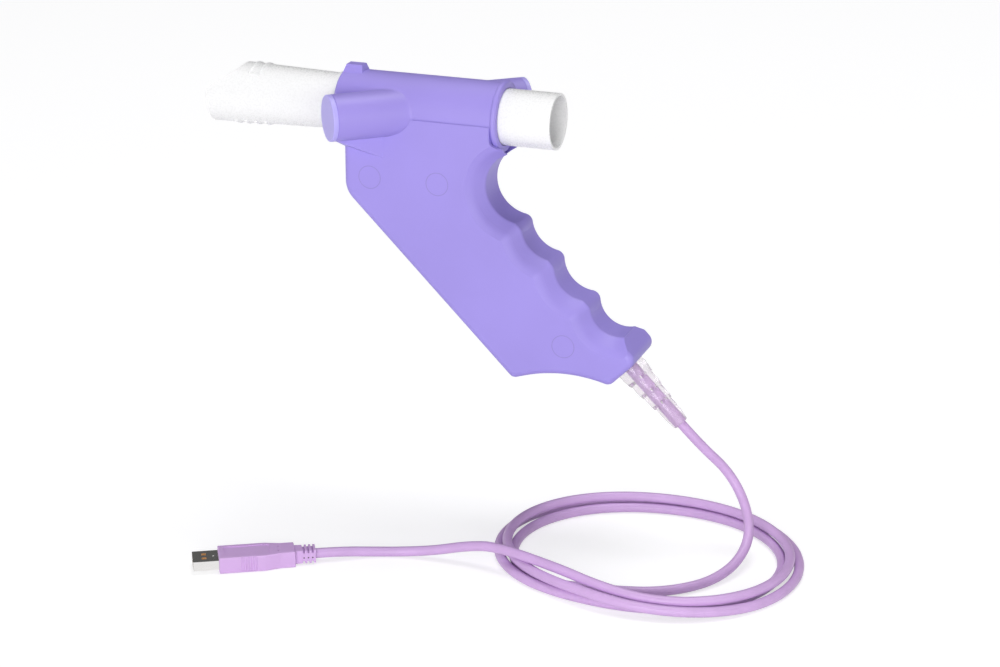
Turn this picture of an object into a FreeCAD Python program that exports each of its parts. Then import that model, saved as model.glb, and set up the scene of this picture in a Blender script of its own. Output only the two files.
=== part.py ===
import FreeCAD
import Part
import Sketcher
import math
import os

# Hand-held ultrasonic spirometer with a pistol grip and a USB lead.
# Origin: middle of the grip, where a hand closes round it.
# +X runs along the flow tube from the mouthpiece to the exhaust, +Z is up, and the
# near side, which faces the viewer, is -Y. Lengths are in millimetres, angles in degrees.

doc = FreeCAD.newDocument("spirometer")
sheet = doc.addObject("Spreadsheet::Sheet", "sizes")

SIZES = (
    # Flow axis
    ("tube_axis_height", 85.0, "height of the flow tube's axis above the origin"),
    ("crossing_x", -45.0, "x where the sound path crosses the tube's axis"),
    # Flow tube
    ("tube_radius", 13.0, "outer radius of the flow tube in the barrel"),
    ("tube_wall", 1.2, "wall of the flow tube"),
    ("mouth_radius", 14.7, "outer radius at the mouth end"),
    ("mouth_reach", 105.9, "crossing to the mouth end"),
    ("exhaust_reach", 63.4, "crossing to the exhaust end"),
    ("mouth_slope", 34.0, "angle of the oblique cut at the mouth"),
    ("mouth_cut_height", 4.2, "height over the axis where the oblique cut starts"),
    ("stop_ring_height", 0.9, "height of the ring that stops the tube at the barrel"),
    ("stop_ring_width", 1.7, "width of the stop ring"),
    ("stop_gap", 0.3, "gap between the stop ring and the barrel"),
    ("relief_depth", 0.2, "how much thinner the tube is between its two guide lands"),
    ("land_length", 3.2, "length of a guide land inside the barrel"),
    ("land_inset", 1.5, "barrel's exhaust face to the guide land behind it"),
    ("bite_rib_radius", 0.8, "radius of the bite ribs' section"),
    ("bite_rib_pitch", 5.05, "distance from rib to rib"),
    ("bite_rib_count", 4, "number of ribs underneath"),
    ("bite_rib_first", 78.5, "crossing to the innermost bite rib"),
    ("bite_rib_half", 8.4, "half width of the ribs across the tube"),
    ("top_rib_first", 80.9, "crossing to the inner rib on the top"),
    ("top_rib_count", 2, "number of ribs on the top"),
    ("window_radius", 6.5, "radius of the sound path through the tube's wall"),
    ("mesh_thickness", 0.4, "thickness of the window mesh"),
    ("mesh_fit", 0.05, "gap round the window mesh"),
    # Sensor barrel
    ("barrel_radius", 15.75, "outer radius of the barrel"),
    ("mouth_margin", 5.41, "foot of the near boss to the barrel's mouth face"),
    ("barrel_exhaust_reach", 38.7, "crossing to the barrel's exhaust face"),
    ("tube_clearance", 0.3, "gap between the tube and the barrel's bore"),
    ("collar_height", 0.75, "height of the collar over the barrel"),
    ("collar_width", 1.9, "width of the collar"),
    ("collar_round", 1.2, "rounding of the collar's front edge"),
    ("barrel_round", 0.8, "chamfer of the barrel's mouth edge"),
    ("key_height", 2.8, "height of the key lug above the barrel"),
    ("key_length", 10.8, "length of the key lug along the barrel"),
    ("key_width", 11.0, "width of the key lug across the barrel"),
    ("key_slope", 3.0, "how far the key lug's sides lean in"),
    # Transducer bosses
    ("boss_angle", 40.0, "angle between the sound path and the tube's axis"),
    ("boss_radius", 10.75, "outer radius of a transducer boss"),
    ("boss_reach", 45.7, "crossing to a boss's open end"),
    ("boss_bore", 8.9, "radius of the bore in a boss"),
    ("boss_floor", 33.0, "crossing to the floor of the bore"),
    ("boss_blend", 2.2, "fillet where a boss meets the barrel"),
    ("seam_chamfer", 0.25, "chamfer on both sides of the seam at a cap"),
    ("cap_thickness", 2.3, "thickness of a boss's cap outside the boss"),
    ("cap_round", 0.6, "rounding of the cap's outer edge"),
    ("cap_spigot", 2.4, "length of the cap's spigot in the boss"),
    ("cap_wall", 1.3, "wall of the cap's spigot"),
    ("cap_fit", 0.05, "gap between the spigot and the bore"),
    ("transducer_radius", 7.0, "radius of an ultrasonic transducer"),
    ("transducer_length", 5.0, "length of a transducer behind the step"),
    ("nose_radius", 6.3, "radius of a transducer's nose in the port"),
    ("nose_length", 4.2, "length of that nose"),
    ("ring_fit", 0.05, "gaps inside and outside the isolation ring"),
    ("ring_notch", 3.4, "width of the isolation ring's notch for the lead"),
    ("pin_radius", 0.4, "radius of a transducer's pins"),
    ("pin_length", 2.0, "length of a transducer's pins"),
    ("pin_spacing", 4.0, "distance between a transducer's pins"),
    ("clip_length", 7.0, "length of the lead's clip on the pins"),
    ("clip_height", 3.2, "height of that clip"),
    ("clip_thickness", 2.2, "thickness of that clip"),
    ("lead_radius", 0.7, "radius of a transducer's twisted lead"),
    ("lead_gap", 0.5, "gap between a lead and its channel"),
    ("channel_start_reach", 3.0, "bore's floor to the start of a lead's channel"),
    ("channel_end_x", 14.5, "crossing to the inner end of a lead's channel, along X"),
    ("channel_end_y", 8.0, "middle plane to that end"),
    ("channel_end_drop", 24.0, "tube axis to that end"),
    # Keel that the half shells clamp
    ("keel_thickness", 6.0, "thickness of the barrel's keel"),
    ("keel_drop", 34.5, "tube axis to the keel's lower edge"),
    ("keel_mouth_x", -75.0, "x of the keel's end on the mouth side"),
    ("keel_exhaust_x", -27.0, "x of the keel's other end"),
    ("seat_fit", 0.05, "gap between the shells and what they hold"),
    ("seam_gap", 0.35, "gap of the open seam between the shells and the barrel"),
    ("seam_depth", 1.6, "depth of that seam"),
    # Grip
    ("grip_half", 16.2, "middle plane to a flat side of the grip"),
    ("grip_wall", 2.4, "wall of the grip's half shells"),
    ("grip_edge", 3.0, "rounding of the grip's outer edges"),
    ("grip_left", -80.8, "x of the grip's upright edge on the mouth side"),
    ("grip_top_drop", 1.3, "tube axis to the half shells' upper edge"),
    ("belly_offset", 24.2, "origin to the slanted belly edge"),
    ("belly_round", 12.0, "rounding between the upright edge and the belly"),
    ("grip_bottom", -36.0, "z of the grip's lower corner at the belly"),
    ("toe_round", 3.5, "rounding of the lower corner at the belly"),
    ("hollow_x", 26.0, "x of the middle of the hollow lower edge"),
    ("hollow_rise", 7.8, "how far the hollow lower edge aims up"),
    ("hollow_round", 70.0, "radius of the hollow lower edge"),
    ("end_offset", 58.35, "origin to the end face, along the grip's slope"),
    ("heel_across", 10.8, "slope axis to the heel corner"),
    ("heel_round", 3.8, "rounding of the heel corner"),
    ("pommel_across", 29.7, "slope axis to the pommel's outer face"),
    ("pommel_start", 46.6, "origin to the pommel's shoulder, along the slope"),
    ("pommel_round", 4.5, "rounding of the pommel's outer corner"),
    ("shoulder_round", 3.2, "rounding of the pommel's shoulder"),
    ("collar_step_x", -9.2, "x of the half shells' upright edge at the collar"),
    ("throat_x", -4.0, "x of the lip under the collar"),
    ("throat_drop", 11.5, "tube axis to the step under the collar"),
    ("throat_round", 4.5, "rounding at the foot of that step"),
    # Finger grooves
    ("groove_x", 2.8, "x of the index finger's groove axis"),
    ("groove_z", 53.9, "z of the index finger's groove axis"),
    ("groove_pitch", 23.58, "distance from groove to groove"),
    ("groove_slope", 48.0, "angle of the row of grooves below +X"),
    ("index_radius", 16.6, "radius of the index finger's groove"),
    ("middle_radius", 15.1, "radius of the middle finger's groove"),
    ("third_radius", 15.0, "radius of the ring finger's groove"),
    ("little_radius", 13.1, "radius of the little finger's groove"),
    ("floor_half", 8.0, "half width of a groove's floor"),
    ("flank_width", 6.2, "width of the slope beside a groove's floor"),
    ("flank_rise", 4.4, "rise of that slope"),
    ("rim_width", 3.8, "width of the shallow rim beside that slope"),
    ("rim_rise", 5.6, "rise of that rim"),
    ("floor_round", 3.0, "rounding between floor and slope"),
    ("rim_round", 9.0, "rounding between slope and rim"),
    ("crest_round", 4.2, "rounding of the crests between the grooves"),
    # Gussets under the bosses
    ("gusset_outer_x", 35.3, "crossing to a gusset's outer end, along X"),
    ("gusset_inner_x", 14.4, "crossing to a gusset's inner end, along X"),
    ("gusset_reach", 29.4, "middle plane to a gusset's tip"),
    ("gusset_outer_drop", 17.0, "tube axis to the gusset's outer foot"),
    ("gusset_inner_drop", 21.5, "tube axis to the gusset's inner foot"),
    ("gusset_tip_drop", 10.2, "tube axis to the gusset's tip"),
    ("gusset_top_drop", 4.0, "tube axis to the gusset's top inside the boss"),
    # Room inside the grip
    ("room_top_drop", 19.0, "tube axis to the top of the room in the grip"),
    ("room_throat_x", -23.0, "x of the room's end under the collar"),
    ("room_throat_z", 50.0, "z where that end turns to the fingers' side"),
    ("room_turn_z", 41.2, "z where the room starts to follow the grooves"),
    ("room_across", 20.0, "slope axis to the room's edge on the fingers' side"),
    ("room_end", 44.0, "origin to the end of the room, along the slope"),
    ("room_bottom", -28.4, "z of the bottom of the room"),
    # Screws of the grip
    ("mouth_screw_x", -67.8, "x of the upper screw on the mouth side"),
    ("middle_screw_x", -34.5, "x of the other upper screw"),
    ("upper_screw_drop", 30.4, "tube axis to the two upper screws"),
    ("lower_screw_x", 26.9, "x of the lower screw"),
    ("lower_screw_z", -16.6, "z of the lower screw"),
    ("pillar_radius", 5.35, "radius of the screw pillars"),
    ("screw_radius", 1.5, "radius of a screw's shank"),
    ("screw_fit", 0.05, "gap round the screws"),
    ("head_radius", 2.8, "radius of a screw's head"),
    ("head_height", 2.2, "height of a screw's head"),
    ("head_gap", 0.2, "gap round a screw's head"),
    ("screw_length", 20.0, "length of a screw's shank"),
    ("screw_sink", 6.0, "depth of a screw's counterbore"),
    ("drive_radius", 1.3, "radius of the socket in a screw's head"),
    ("drive_depth", 1.3, "depth of that socket"),
    # Board and what it carries
    ("board_offset", -32.5, "origin to the board's middle, along the slope"),
    ("board_across", -5.3, "slope axis to the board's middle"),
    ("board_length", 58.0, "length of the board"),
    ("board_width", 26.0, "width of the board"),
    ("board_thickness", 1.6, "thickness of the board"),
    ("post_spacing", 44.0, "distance between the board's posts"),
    ("post_radius", 3.0, "radius of the board's posts"),
    ("small_screw_radius", 1.0, "radius of a board screw's shank"),
    ("small_screw_length", 6.0, "length of a board screw's shank"),
    ("small_head_radius", 2.0, "radius of a board screw's head"),
    ("small_head_height", 1.3, "height of a board screw's head"),
    ("processor_side", 12.0, "side of the processor"),
    ("processor_along", -7.0, "board's middle to the processor, along the board"),
    ("processor_across", 5.0, "board's middle to the processor, across the board"),
    ("signal_side", 7.0, "side of the signal chip"),
    ("signal_along", 9.5, "board's middle to the signal chip, along the board"),
    ("signal_across", -6.5, "board's middle to the signal chip, across the board"),
    ("chip_height", 1.4, "height of the chips"),
    ("crystal_length", 8.0, "length of the crystal's can"),
    ("crystal_width", 3.2, "width of the crystal's can"),
    ("crystal_height", 2.5, "height of the crystal's can"),
    ("socket_length", 6.0, "length of the cable socket"),
    ("socket_width", 9.0, "width of the cable socket"),
    ("socket_height", 4.5, "height of the cable socket"),
    ("socket_across", 7.6, "board's middle to the cable socket, across the board"),
    ("lead_socket_length", 5.0, "length of a transducer lead's socket"),
    ("lead_socket_width", 4.5, "width of a transducer lead's socket"),
    ("lead_socket_height", 3.8, "height of a transducer lead's socket"),
    ("lead_socket_spacing", 12.0, "distance between the two lead sockets"),
    ("socket_inset", 1.5, "board's end to the sockets"),
    # Strain relief and cable
    ("boot_across", 18.46, "slope axis to the cable's axis"),
    ("boot_radius", 7.1, "radius of the strain relief at the grip"),
    ("boot_tip_radius", 3.8, "radius of the strain relief at its tip"),
    ("boot_length", 35.5, "length of the strain relief outside the grip"),
    ("boot_step", 0.45, "step in radius at each ring of the strain relief"),
    ("boot_root", 5.0, "length of the strain relief's neck in the end wall"),
    ("boot_root_radius", 5.5, "radius of that neck"),
    ("boot_flange", 2.2, "thickness of the flange behind the end wall"),
    ("boot_flange_radius", 8.4, "radius of that flange"),
    ("boot_first_ring", 8.0, "end face to the first ring"),
    ("boot_ring_pitch", 7.6, "distance from ring to ring"),
    ("boot_ring_count", 3, "number of rings"),
    ("slot_width", 1.5, "length of a slot along the strain relief"),
    ("slot_span", 3.0, "width of a slot round the strain relief"),
    ("slot_depth", 2.0, "depth of a slot"),
    ("slot_wall", 0.5, "width of the ring beside a slot"),
    ("slots_per_ring", 4, "number of slots at each ring"),
    ("cable_radius", 2.3, "radius of the cable"),
    ("cable_fit", 0.05, "gap between the cable and what holds it"),
    ("cable_tail", 12.0, "length of cable inside the grip past the flange"),
    ("wire_radius", 0.5, "radius of a wire from the cable to its socket"),
    ("wire_count", 4, "number of those wires"),
    ("wire_pitch", 1.3, "distance from wire to wire"),
    ("floor_drop", 112.5, "origin to the surface that the cable lies on"),
    # Coil of cable
    ("coil_x", 73.0, "x of the coil's middle"),
    ("coil_y", -24.5, "y of the coil's middle"),
    ("coil_outer_length", 75.5, "middle to the coil's outside, the long way"),
    ("coil_outer_width", 66.0, "middle to the coil's outside, the short way"),
    ("coil_inner_length", 57.0, "middle to the coil's inside, the long way"),
    ("coil_inner_width", 46.0, "middle to the coil's inside, the short way"),
    ("coil_height", 9.6, "height of the coil"),
    ("coil_turn", -5.0, "angle of the coil's long axis"),
    ("coil_round", 2.2, "rounding of the coil's edges"),
    # Plug
    ("plug_x", -110.0, "x of the plug's front face"),
    ("plug_y", -101.5, "y of the plug's front face"),
    ("plug_yaw", 29.5, "angle of the plug's axis from +X"),
    ("plug_length", 35.0, "length of the plug's body"),
    ("plug_front_width", 14.6, "width of the body at its front"),
    ("plug_rear_width", 11.4, "width of the body at its rear"),
    ("plug_waist_start", 21.5, "front face to where the body starts to narrow"),
    ("plug_waist_end", 28.5, "front face to where it has its rear width"),
    ("plug_height", 7.8, "height of the plug's body"),
    ("plug_round", 0.5, "rounding of the body's edges"),
    ("rib_count", 7, "number of finger grooves on each side"),
    ("rib_pitch", 1.12, "distance between the finger grooves"),
    ("rib_first", 10.3, "front face to the first finger groove"),
    ("rib_depth", 0.3, "depth of a finger groove"),
    ("rib_width", 0.56, "width of a finger groove"),
    ("panel_start", 2.6, "front face to the shallow recess on the top"),
    ("panel_length", 21.0, "length of that recess"),
    ("panel_width", 10.4, "width of that recess"),
    ("panel_depth", 0.4, "depth of that recess"),
    ("panel_round", 1.2, "rounding of the recess's corners"),
    ("dimple_reach", 27.4, "front face to the two dimples behind the recess"),
    ("dimple_spacing", 4.4, "distance between those dimples"),
    ("dimple_radius", 0.5, "radius of a dimple"),
    ("dimple_depth", 0.7, "depth of a dimple"),
    ("neck_length", 9.5, "length of the plug's neck"),
    ("neck_width", 7.6, "width of the neck"),
    ("neck_height", 6.4, "height of the neck"),
    ("neck_slot", 1.0, "width of a slot in the neck"),
    ("neck_slot_pitch", 2.0, "distance from slot to slot in the neck"),
    ("neck_slot_first", 4.0, "rear of the body to the first slot's middle"),
    ("neck_slot_count", 3, "number of slots on each side of the neck"),
    ("neck_slot_depth", 1.2, "depth of a slot in the neck"),
    ("usb_length", 11.8, "length of the metal shell outside the plug"),
    ("usb_width", 12.0, "width of the metal shell"),
    ("usb_height", 4.5, "height of the metal shell"),
    ("usb_wall", 0.3, "thickness of the metal shell"),
    ("usb_depth", 7.0, "depth of the metal shell inside the plug's body"),
    ("latch_side", 2.2, "side of a latch window"),
    ("latch_reach", 6.6, "front face to the latch windows' middle"),
    ("latch_offset", 2.2, "middle of the shell to a latch window's middle"),
    ("tongue_height", 1.9, "thickness of the contact block"),
    ("tongue_inset", 1.0, "shell's mouth to the contact block"),
    ("insert_fit", 0.05, "gap between the contact block and the shell"),
    ("contact_width", 1.0, "width of a contact"),
    ("contact_pitch", 2.4, "distance from contact to contact"),
    ("contact_count", 4, "number of contacts"),
    ("contact_height", 0.25, "thickness of a contact"),
    ("contact_length", 8.0, "length of a contact"),
)

for row, (alias, number, meaning) in enumerate(SIZES, start=1):
    sheet.set(f"A{row}", str(number))
    sheet.setAlias(f"A{row}", alias)
    sheet.set(f"B{row}", meaning)
doc.recompute()


class Rule:
    """A number with the expression that ties it to the sheet."""

    def __init__(self, value, text):
        self.value = float(value)
        self.text = text

    def __float__(self):
        return self.value

    def __add__(self, other):
        return Rule(self.value + float(other), f"({self.text} + {written(other)})")

    def __sub__(self, other):
        return Rule(self.value - float(other), f"({self.text} - {written(other)})")

    def __mul__(self, other):
        return Rule(self.value * float(other), f"({self.text} * {written(other)})")

    def __truediv__(self, other):
        return Rule(self.value / float(other), f"({self.text} / {written(other)})")

    def __radd__(self, other):
        return Rule(float(other) + self.value, f"({written(other)} + {self.text})")

    def __rsub__(self, other):
        return Rule(float(other) - self.value, f"({written(other)} - {self.text})")

    def __rmul__(self, other):
        return Rule(float(other) * self.value, f"({written(other)} * {self.text})")

    def __neg__(self):
        return Rule(-self.value, f"(-{self.text})")


def written(number):
    """Text of a rule or of a plain number."""
    return number.text if isinstance(number, Rule) else repr(float(number))


class Sizes:
    """The sheet's cells, each as a rule."""

    def __getattr__(self, name):
        return Rule(getattr(sheet, name), f"sizes.{name}")


s = Sizes()


def count(rule):
    """Whole number that a cell holds."""
    return int(round(float(rule)))


# Directions and frames

UP = FreeCAD.Vector(0, 0, 1)
ACROSS = FreeCAD.Vector(0, 1, 0)
ALONG = FreeCAD.Vector(1, 0, 0)
NO_TURN = FreeCAD.Rotation()
TO_EXHAUST = FreeCAD.Rotation(ACROSS, 90)
OUT_OF_GRIP = FreeCAD.Rotation(ACROSS, 135)
NEAR = -1
FAR = 1


def vector(x, y, z):
    return FreeCAD.Vector(float(x), float(y), float(z))


CROSSING = vector(s.crossing_x, 0, s.tube_axis_height)
FLOOR = -float(s.floor_drop)


def along_tube(reach):
    """Frame on the tube's axis, its Z towards the exhaust and its X down."""
    return FreeCAD.Placement(CROSSING + vector(reach, 0, 0), TO_EXHAUST)


def barrel_mouth_reach():
    """Crossing to the barrel's mouth face, a margin past the foot of the near boss."""
    angle = math.radians(float(s.boss_angle))
    foot = (s.barrel_radius + s.boss_radius * math.cos(angle)) / math.tan(angle)
    return foot + s.boss_radius * math.sin(angle) + s.mouth_margin


def below_tube(drop):
    """Height of what hangs a distance below the tube's axis."""
    return s.tube_axis_height - drop


def sound_direction(side):
    """Direction of the sound path: the near boss looks to the mouth, the far one away."""
    angle = math.radians(float(s.boss_angle))
    return vector(side * math.cos(angle), side * math.sin(angle), 0)


def sound_point(side, reach, height=0.0, sideways=0.0):
    """Point beside the sound path, given along it, above it and to its left."""
    outward = sound_direction(side)
    left = UP.cross(outward)
    return CROSSING + outward * float(reach) + UP * float(height) + left * float(sideways)


def along_sound(side, reach):
    """Frame on the sound path, its Z outwards and its X down."""
    turn = FreeCAD.Rotation(UP, float(s.boss_angle) + (180 if side == NEAR else 0)).multiply(TO_EXHAUST)
    return FreeCAD.Placement(sound_point(side, reach), turn)


def slope_point(offset, across, depth=0.0):
    """Point given along the grip's slope, across it and in depth."""
    root = math.sqrt(0.5)
    return vector((float(offset) + float(across)) * root, depth, (float(across) - float(offset)) * root)


def along_boot(offset):
    """Frame on the cable's axis in the strain relief, its Z out of the grip."""
    return FreeCAD.Placement(slope_point(offset, s.boot_across), OUT_OF_GRIP)


PLUG_TURN = FreeCAD.Rotation(UP, float(s.plug_yaw))


def plug_point(along, across=0.0, height=0.0):
    """Point in the plug: along it from its front face, across it and above its middle."""
    front = vector(s.plug_x, s.plug_y, FLOOR + float(s.plug_height) / 2)
    return front + PLUG_TURN.multVec(vector(along, across, height))


def in_plug(along, across=0.0, height=0.0):
    """Frame in the plug, its X towards the cable."""
    return FreeCAD.Placement(plug_point(along, across, height), PLUG_TURN)


# Ways of making a piece

pieces = []


def piece(label, thing):
    """Name a finished sub-part: the label is also its file's name."""
    thing.Label = label
    pieces.append(thing)
    return thing


def made(kind, name, place=None, **values):
    """Document object whose sizes are tied to the sheet."""
    thing = doc.addObject(kind, name)
    for key, value in values.items():
        if isinstance(value, Rule):
            thing.setExpression(key, value.text)
        else:
            setattr(thing, key, value)
    if place:
        thing.Placement = place
    return thing


def cylinder(name, place, radius, height):
    return made("Part::Cylinder", name, place, Radius=radius, Height=height)


def shifted(place, x, y, z):
    """Frame moved along its own axes."""
    return place.multiply(FreeCAD.Placement(vector(x, y, z), NO_TURN))


def block(name, place, length, width, height):
    """Box whose frame is at the middle of its lower face's short edge."""
    start = shifted(place, 0, -width / 2, 0)
    return made("Part::Box", name, start, Length=length, Width=width, Height=height)


def joined(name, things):
    return made("Part::MultiFuse", name, Shapes=list(things))


def cut(name, base, *tools):
    tool = tools[0] if len(tools) == 1 else joined(f"{name}_tools", tools)
    return made("Part::Cut", name, Base=base, Tool=tool)


def shared(name, *things):
    return made("Part::MultiCommon", name, Shapes=list(things))


def grouped(name, things):
    """Several like solids in one node."""
    return made("Part::Compound", name, Links=list(things))


def shaped(name, shape):
    """Object whose form is set by its shape."""
    thing = doc.addObject("Part::Feature", name)
    thing.Shape = shape
    return thing


def profile(body, corners, name):
    """Closed polygon in a body's XZ plane, every corner tied to the sheet."""
    sketch = body.newObject("Sketcher::SketchObject", name)
    origin_plane = next(part for part in body.Origin.OriginFeatures if part.Role == "XZ_Plane")
    sketch.AttachmentSupport = [(origin_plane, "")]
    sketch.MapMode = "FlatFace"
    spots = [vector(across, up, 0) for across, up in corners]
    for index, spot in enumerate(spots):
        sketch.addGeometry(Part.LineSegment(spot, spots[(index + 1) % len(spots)]), False)
    for index, (across, up) in enumerate(corners):
        following = (index + 1) % len(corners)
        sketch.addConstraint(Sketcher.Constraint("Coincident", index, 2, following, 1))
        for kind, number, axis in (("DistanceX", across, -2), ("DistanceY", up, -1)):
            if isinstance(number, Rule):
                place = sketch.addConstraint(Sketcher.Constraint(kind, -1, 1, index, 1, float(number)))
                sketch.setExpression(f"Constraints[{place}]", number.text)
            else:
                sketch.addConstraint(Sketcher.Constraint("PointOnObject", index, 1, axis))
    return sketch


def turned(name, place, corners):
    """Piece turned about its Z from corners given as radius and height."""
    body = doc.addObject("PartDesign::Body", name)
    sketch = profile(body, corners, f"{name}_profile")
    solid = body.newObject("PartDesign::Revolution", f"{name}_turned")
    solid.Profile = sketch
    solid.ReferenceAxis = (sketch, ["V_Axis"])
    solid.Angle = 360
    body.Placement = place
    return body


def rounded(name, base, radius, chosen):
    """Fillet on the edges of an object that a test chooses."""
    doc.recompute()
    thing = doc.addObject("Part::Fillet", name)
    thing.Base = base
    edges = [number for number, edge in enumerate(base.Shape.Edges, start=1) if chosen(edge)]
    thing.Edges = [(number, float(radius), float(radius)) for number in edges]
    return thing


def rounded_wire(corners):
    """Closed wire through corners given as (point, radius), each rounded by its radius."""
    starts = []
    ends = []
    middles = []
    for index, (corner, radius) in enumerate(corners):
        to_last = (corners[index - 1][0] - corner).normalize()
        to_next = (corners[(index + 1) % len(corners)][0] - corner).normalize()
        half = to_last.getAngle(to_next) / 2
        reach = float(radius) / math.tan(half)
        bisector = (to_last + to_next).normalize()
        starts.append(corner + to_last * reach)
        ends.append(corner + to_next * reach)
        middles.append(corner + bisector * float(radius) * (1 / math.sin(half) - 1))
    edges = []
    for index, (corner, radius) in enumerate(corners):
        if float(radius) > 0:
            edges.append(Part.Arc(starts[index], middles[index], ends[index]).toShape())
        following = (index + 1) % len(corners)
        edges.append(Part.LineSegment(ends[index], starts[following]).toShape())
    return Part.Wire(edges)


def tube_path(points, share=0.45):
    """Straight runs joined by tangent arcs as large as the runs allow, and the arcs' radii."""
    edges = []
    radii = []
    start = points[0]
    for before, corner, after in zip(points, points[1:], points[2:]):
        back = before - corner
        ahead = after - corner
        reach = share * min(back.Length, ahead.Length)
        half = back.getAngle(ahead) / 2
        radius = reach * math.tan(half)
        back.normalize()
        ahead.normalize()
        arc_start = corner + back * reach
        arc_end = corner + ahead * reach
        bisector = (back + ahead).normalize()
        middle = corner + bisector * radius * (1 / math.sin(half) - 1)
        edges.append(Part.LineSegment(start, arc_start).toShape())
        edges.append(Part.Arc(arc_start, middle, arc_end).toShape())
        radii.append(radius)
        start = arc_end
    edges.append(Part.LineSegment(start, points[-1]).toShape())
    return Part.Wire(edges), radii


def tube_solid(name, points, radius):
    """Solid of a cable along its route; its volume and bends are printed."""
    path, radii = tube_path(points)
    circle = Part.Circle(points[0], points[1] - points[0], float(radius)).toShape()
    solid = path.makePipeShell([Part.Wire([circle])], True, False)
    expected = path.Length * math.pi * float(radius) ** 2
    bends = ", ".join(f"{bend:.1f}" for bend in radii)
    share = solid.Volume / expected
    print(f"{name}: length {path.Length:.1f}, bends {bends}, volume {share:.4f} of expected")
    return solid


# Flow tube with its window mesh

def tapered_radius(reach):
    """Outer radius of the flow tube where it widens towards the mouth."""
    start = barrel_mouth_reach() + s.stop_gap + s.stop_ring_width
    return s.tube_radius + (s.mouth_radius - s.tube_radius) * (reach - start) / (s.mouth_reach - start)


def bite_ribs(name, first, number, sign):
    """Short raised arcs round the mouth end, underneath or on the top."""
    rings = []
    for index in range(count(number)):
        reach = first + s.bite_rib_pitch * index
        place = along_tube(-reach)
        radius = tapered_radius(reach) - s.bite_rib_radius / 4
        section = s.bite_rib_radius
        rings.append(made("Part::Torus", f"{name}_{index}", place, Radius1=radius, Radius2=section))
    height = s.mouth_radius * 2
    start = CROSSING + vector(-(first + s.bite_rib_pitch * number), 0, 0 if sign > 0 else -height)
    length = s.bite_rib_pitch * (number + 1)
    limit = block(f"{name}_limit", FreeCAD.Placement(start, NO_TURN), length, s.bite_rib_half * 2, height)
    return shared(name, joined(f"{name}_rings", rings), limit)


def make_flow_tube():
    straight = -(barrel_mouth_reach() + s.stop_gap)
    ring_back = straight - s.stop_ring_width
    free_end = s.barrel_exhaust_reach + s.stop_gap
    front_land = s.barrel_exhaust_reach - s.land_inset
    rear_land = s.land_length - barrel_mouth_reach()
    tube = turned("tube_wall", along_tube(0), (
        (s.tube_radius, s.exhaust_reach),
        (s.tube_radius, free_end),
        (s.tube_radius - s.relief_depth, free_end),
        (s.tube_radius - s.relief_depth, front_land),
        (s.tube_radius, front_land),
        (s.tube_radius, front_land - s.land_length),
        (s.tube_radius - s.relief_depth, front_land - s.land_length),
        (s.tube_radius - s.relief_depth, rear_land),
        (s.tube_radius, rear_land),
        (s.tube_radius, straight),
        (s.tube_radius + s.stop_ring_height, straight),
        (s.tube_radius + s.stop_ring_height, ring_back),
        (s.tube_radius, ring_back),
        (s.mouth_radius, -s.mouth_reach),
        (s.mouth_radius - s.tube_wall, -s.mouth_reach),
        (s.tube_radius - s.tube_wall, ring_back),
        (s.tube_radius - s.tube_wall, s.exhaust_reach),
    ))
    under = bite_ribs("ribs_under", s.bite_rib_first, s.bite_rib_count, -1)
    over = bite_ribs("ribs_over", s.top_rib_first, s.top_rib_count, 1)
    bar_radius = tapered_radius(s.top_rib_first) - s.bite_rib_radius / 4
    rise = math.sqrt(float(bar_radius) ** 2 - float(s.bite_rib_half) ** 2)
    bar_start = CROSSING + vector(-(s.top_rib_first + s.bite_rib_pitch), -s.bite_rib_half, rise)
    bar = cylinder("rib_bar", FreeCAD.Placement(bar_start, TO_EXHAUST), s.bite_rib_radius, s.bite_rib_pitch)
    solid = joined("tube_with_ribs", (tube, under, over, bar))
    path = cylinder("sound_path", along_sound(FAR, -s.boss_floor), s.window_radius, s.boss_floor * 2)
    slope = FreeCAD.Rotation(ACROSS, -float(s.mouth_slope))
    corner = FreeCAD.Placement(CROSSING + vector(-s.mouth_reach, 0, s.mouth_cut_height), slope)
    side = s.mouth_radius * 4
    oblique = block("mouth_cut", shifted(corner, -side / 2, 0, 0), side * 2, side, side)
    piece("flow_tube", cut("flow_tube", solid, path, oblique))
    for label, side in (("window_mesh_rear", FAR), ("window_mesh_front", NEAR)):
        inner = s.tube_radius - (s.relief_depth + s.tube_wall) / 2 - s.mesh_thickness / 2
        half = s.window_radius * 3
        outside = cylinder(f"{label}_outside", along_tube(-half), inner + s.mesh_thickness, half * 2)
        inside = cylinder(f"{label}_inside", along_tube(-half), inner, half * 2)
        wall = cut(f"{label}_wall", outside, inside)
        plug = cylinder(f"{label}_round", along_sound(side, 0), s.window_radius - s.mesh_fit, s.boss_floor)
        piece(label, shared(label, wall, plug))


# Sensor barrel with its two bosses

def channel_end(side):
    """Inner end of the channel through which a transducer's lead enters the grip."""
    return CROSSING + vector(side * s.channel_end_x, side * s.channel_end_y, -s.channel_end_drop)


def channel_start(side):
    """Where a transducer's lead turns out of the bore, between ring and wall."""
    middle = (s.transducer_radius + s.boss_bore) / 2
    return sound_point(side, s.boss_floor + s.channel_start_reach, -middle)


def at_front_boss(edge):
    """Whether an edge is where the near boss meets the barrel's outside."""
    first = edge.FirstParameter
    span = edge.LastParameter - first
    outward = sound_direction(NEAR)
    for share in (0.25, 0.5, 0.75):
        spot = edge.valueAt(first + span * share) - CROSSING
        off_barrel = math.hypot(spot.y, spot.z) - float(s.barrel_radius)
        off_boss = spot.cross(outward).Length - float(s.boss_radius)
        if spot.dot(outward) < 0 or abs(off_barrel) > 0.02 or abs(off_boss) > 0.02:
            return False
    return True


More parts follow.
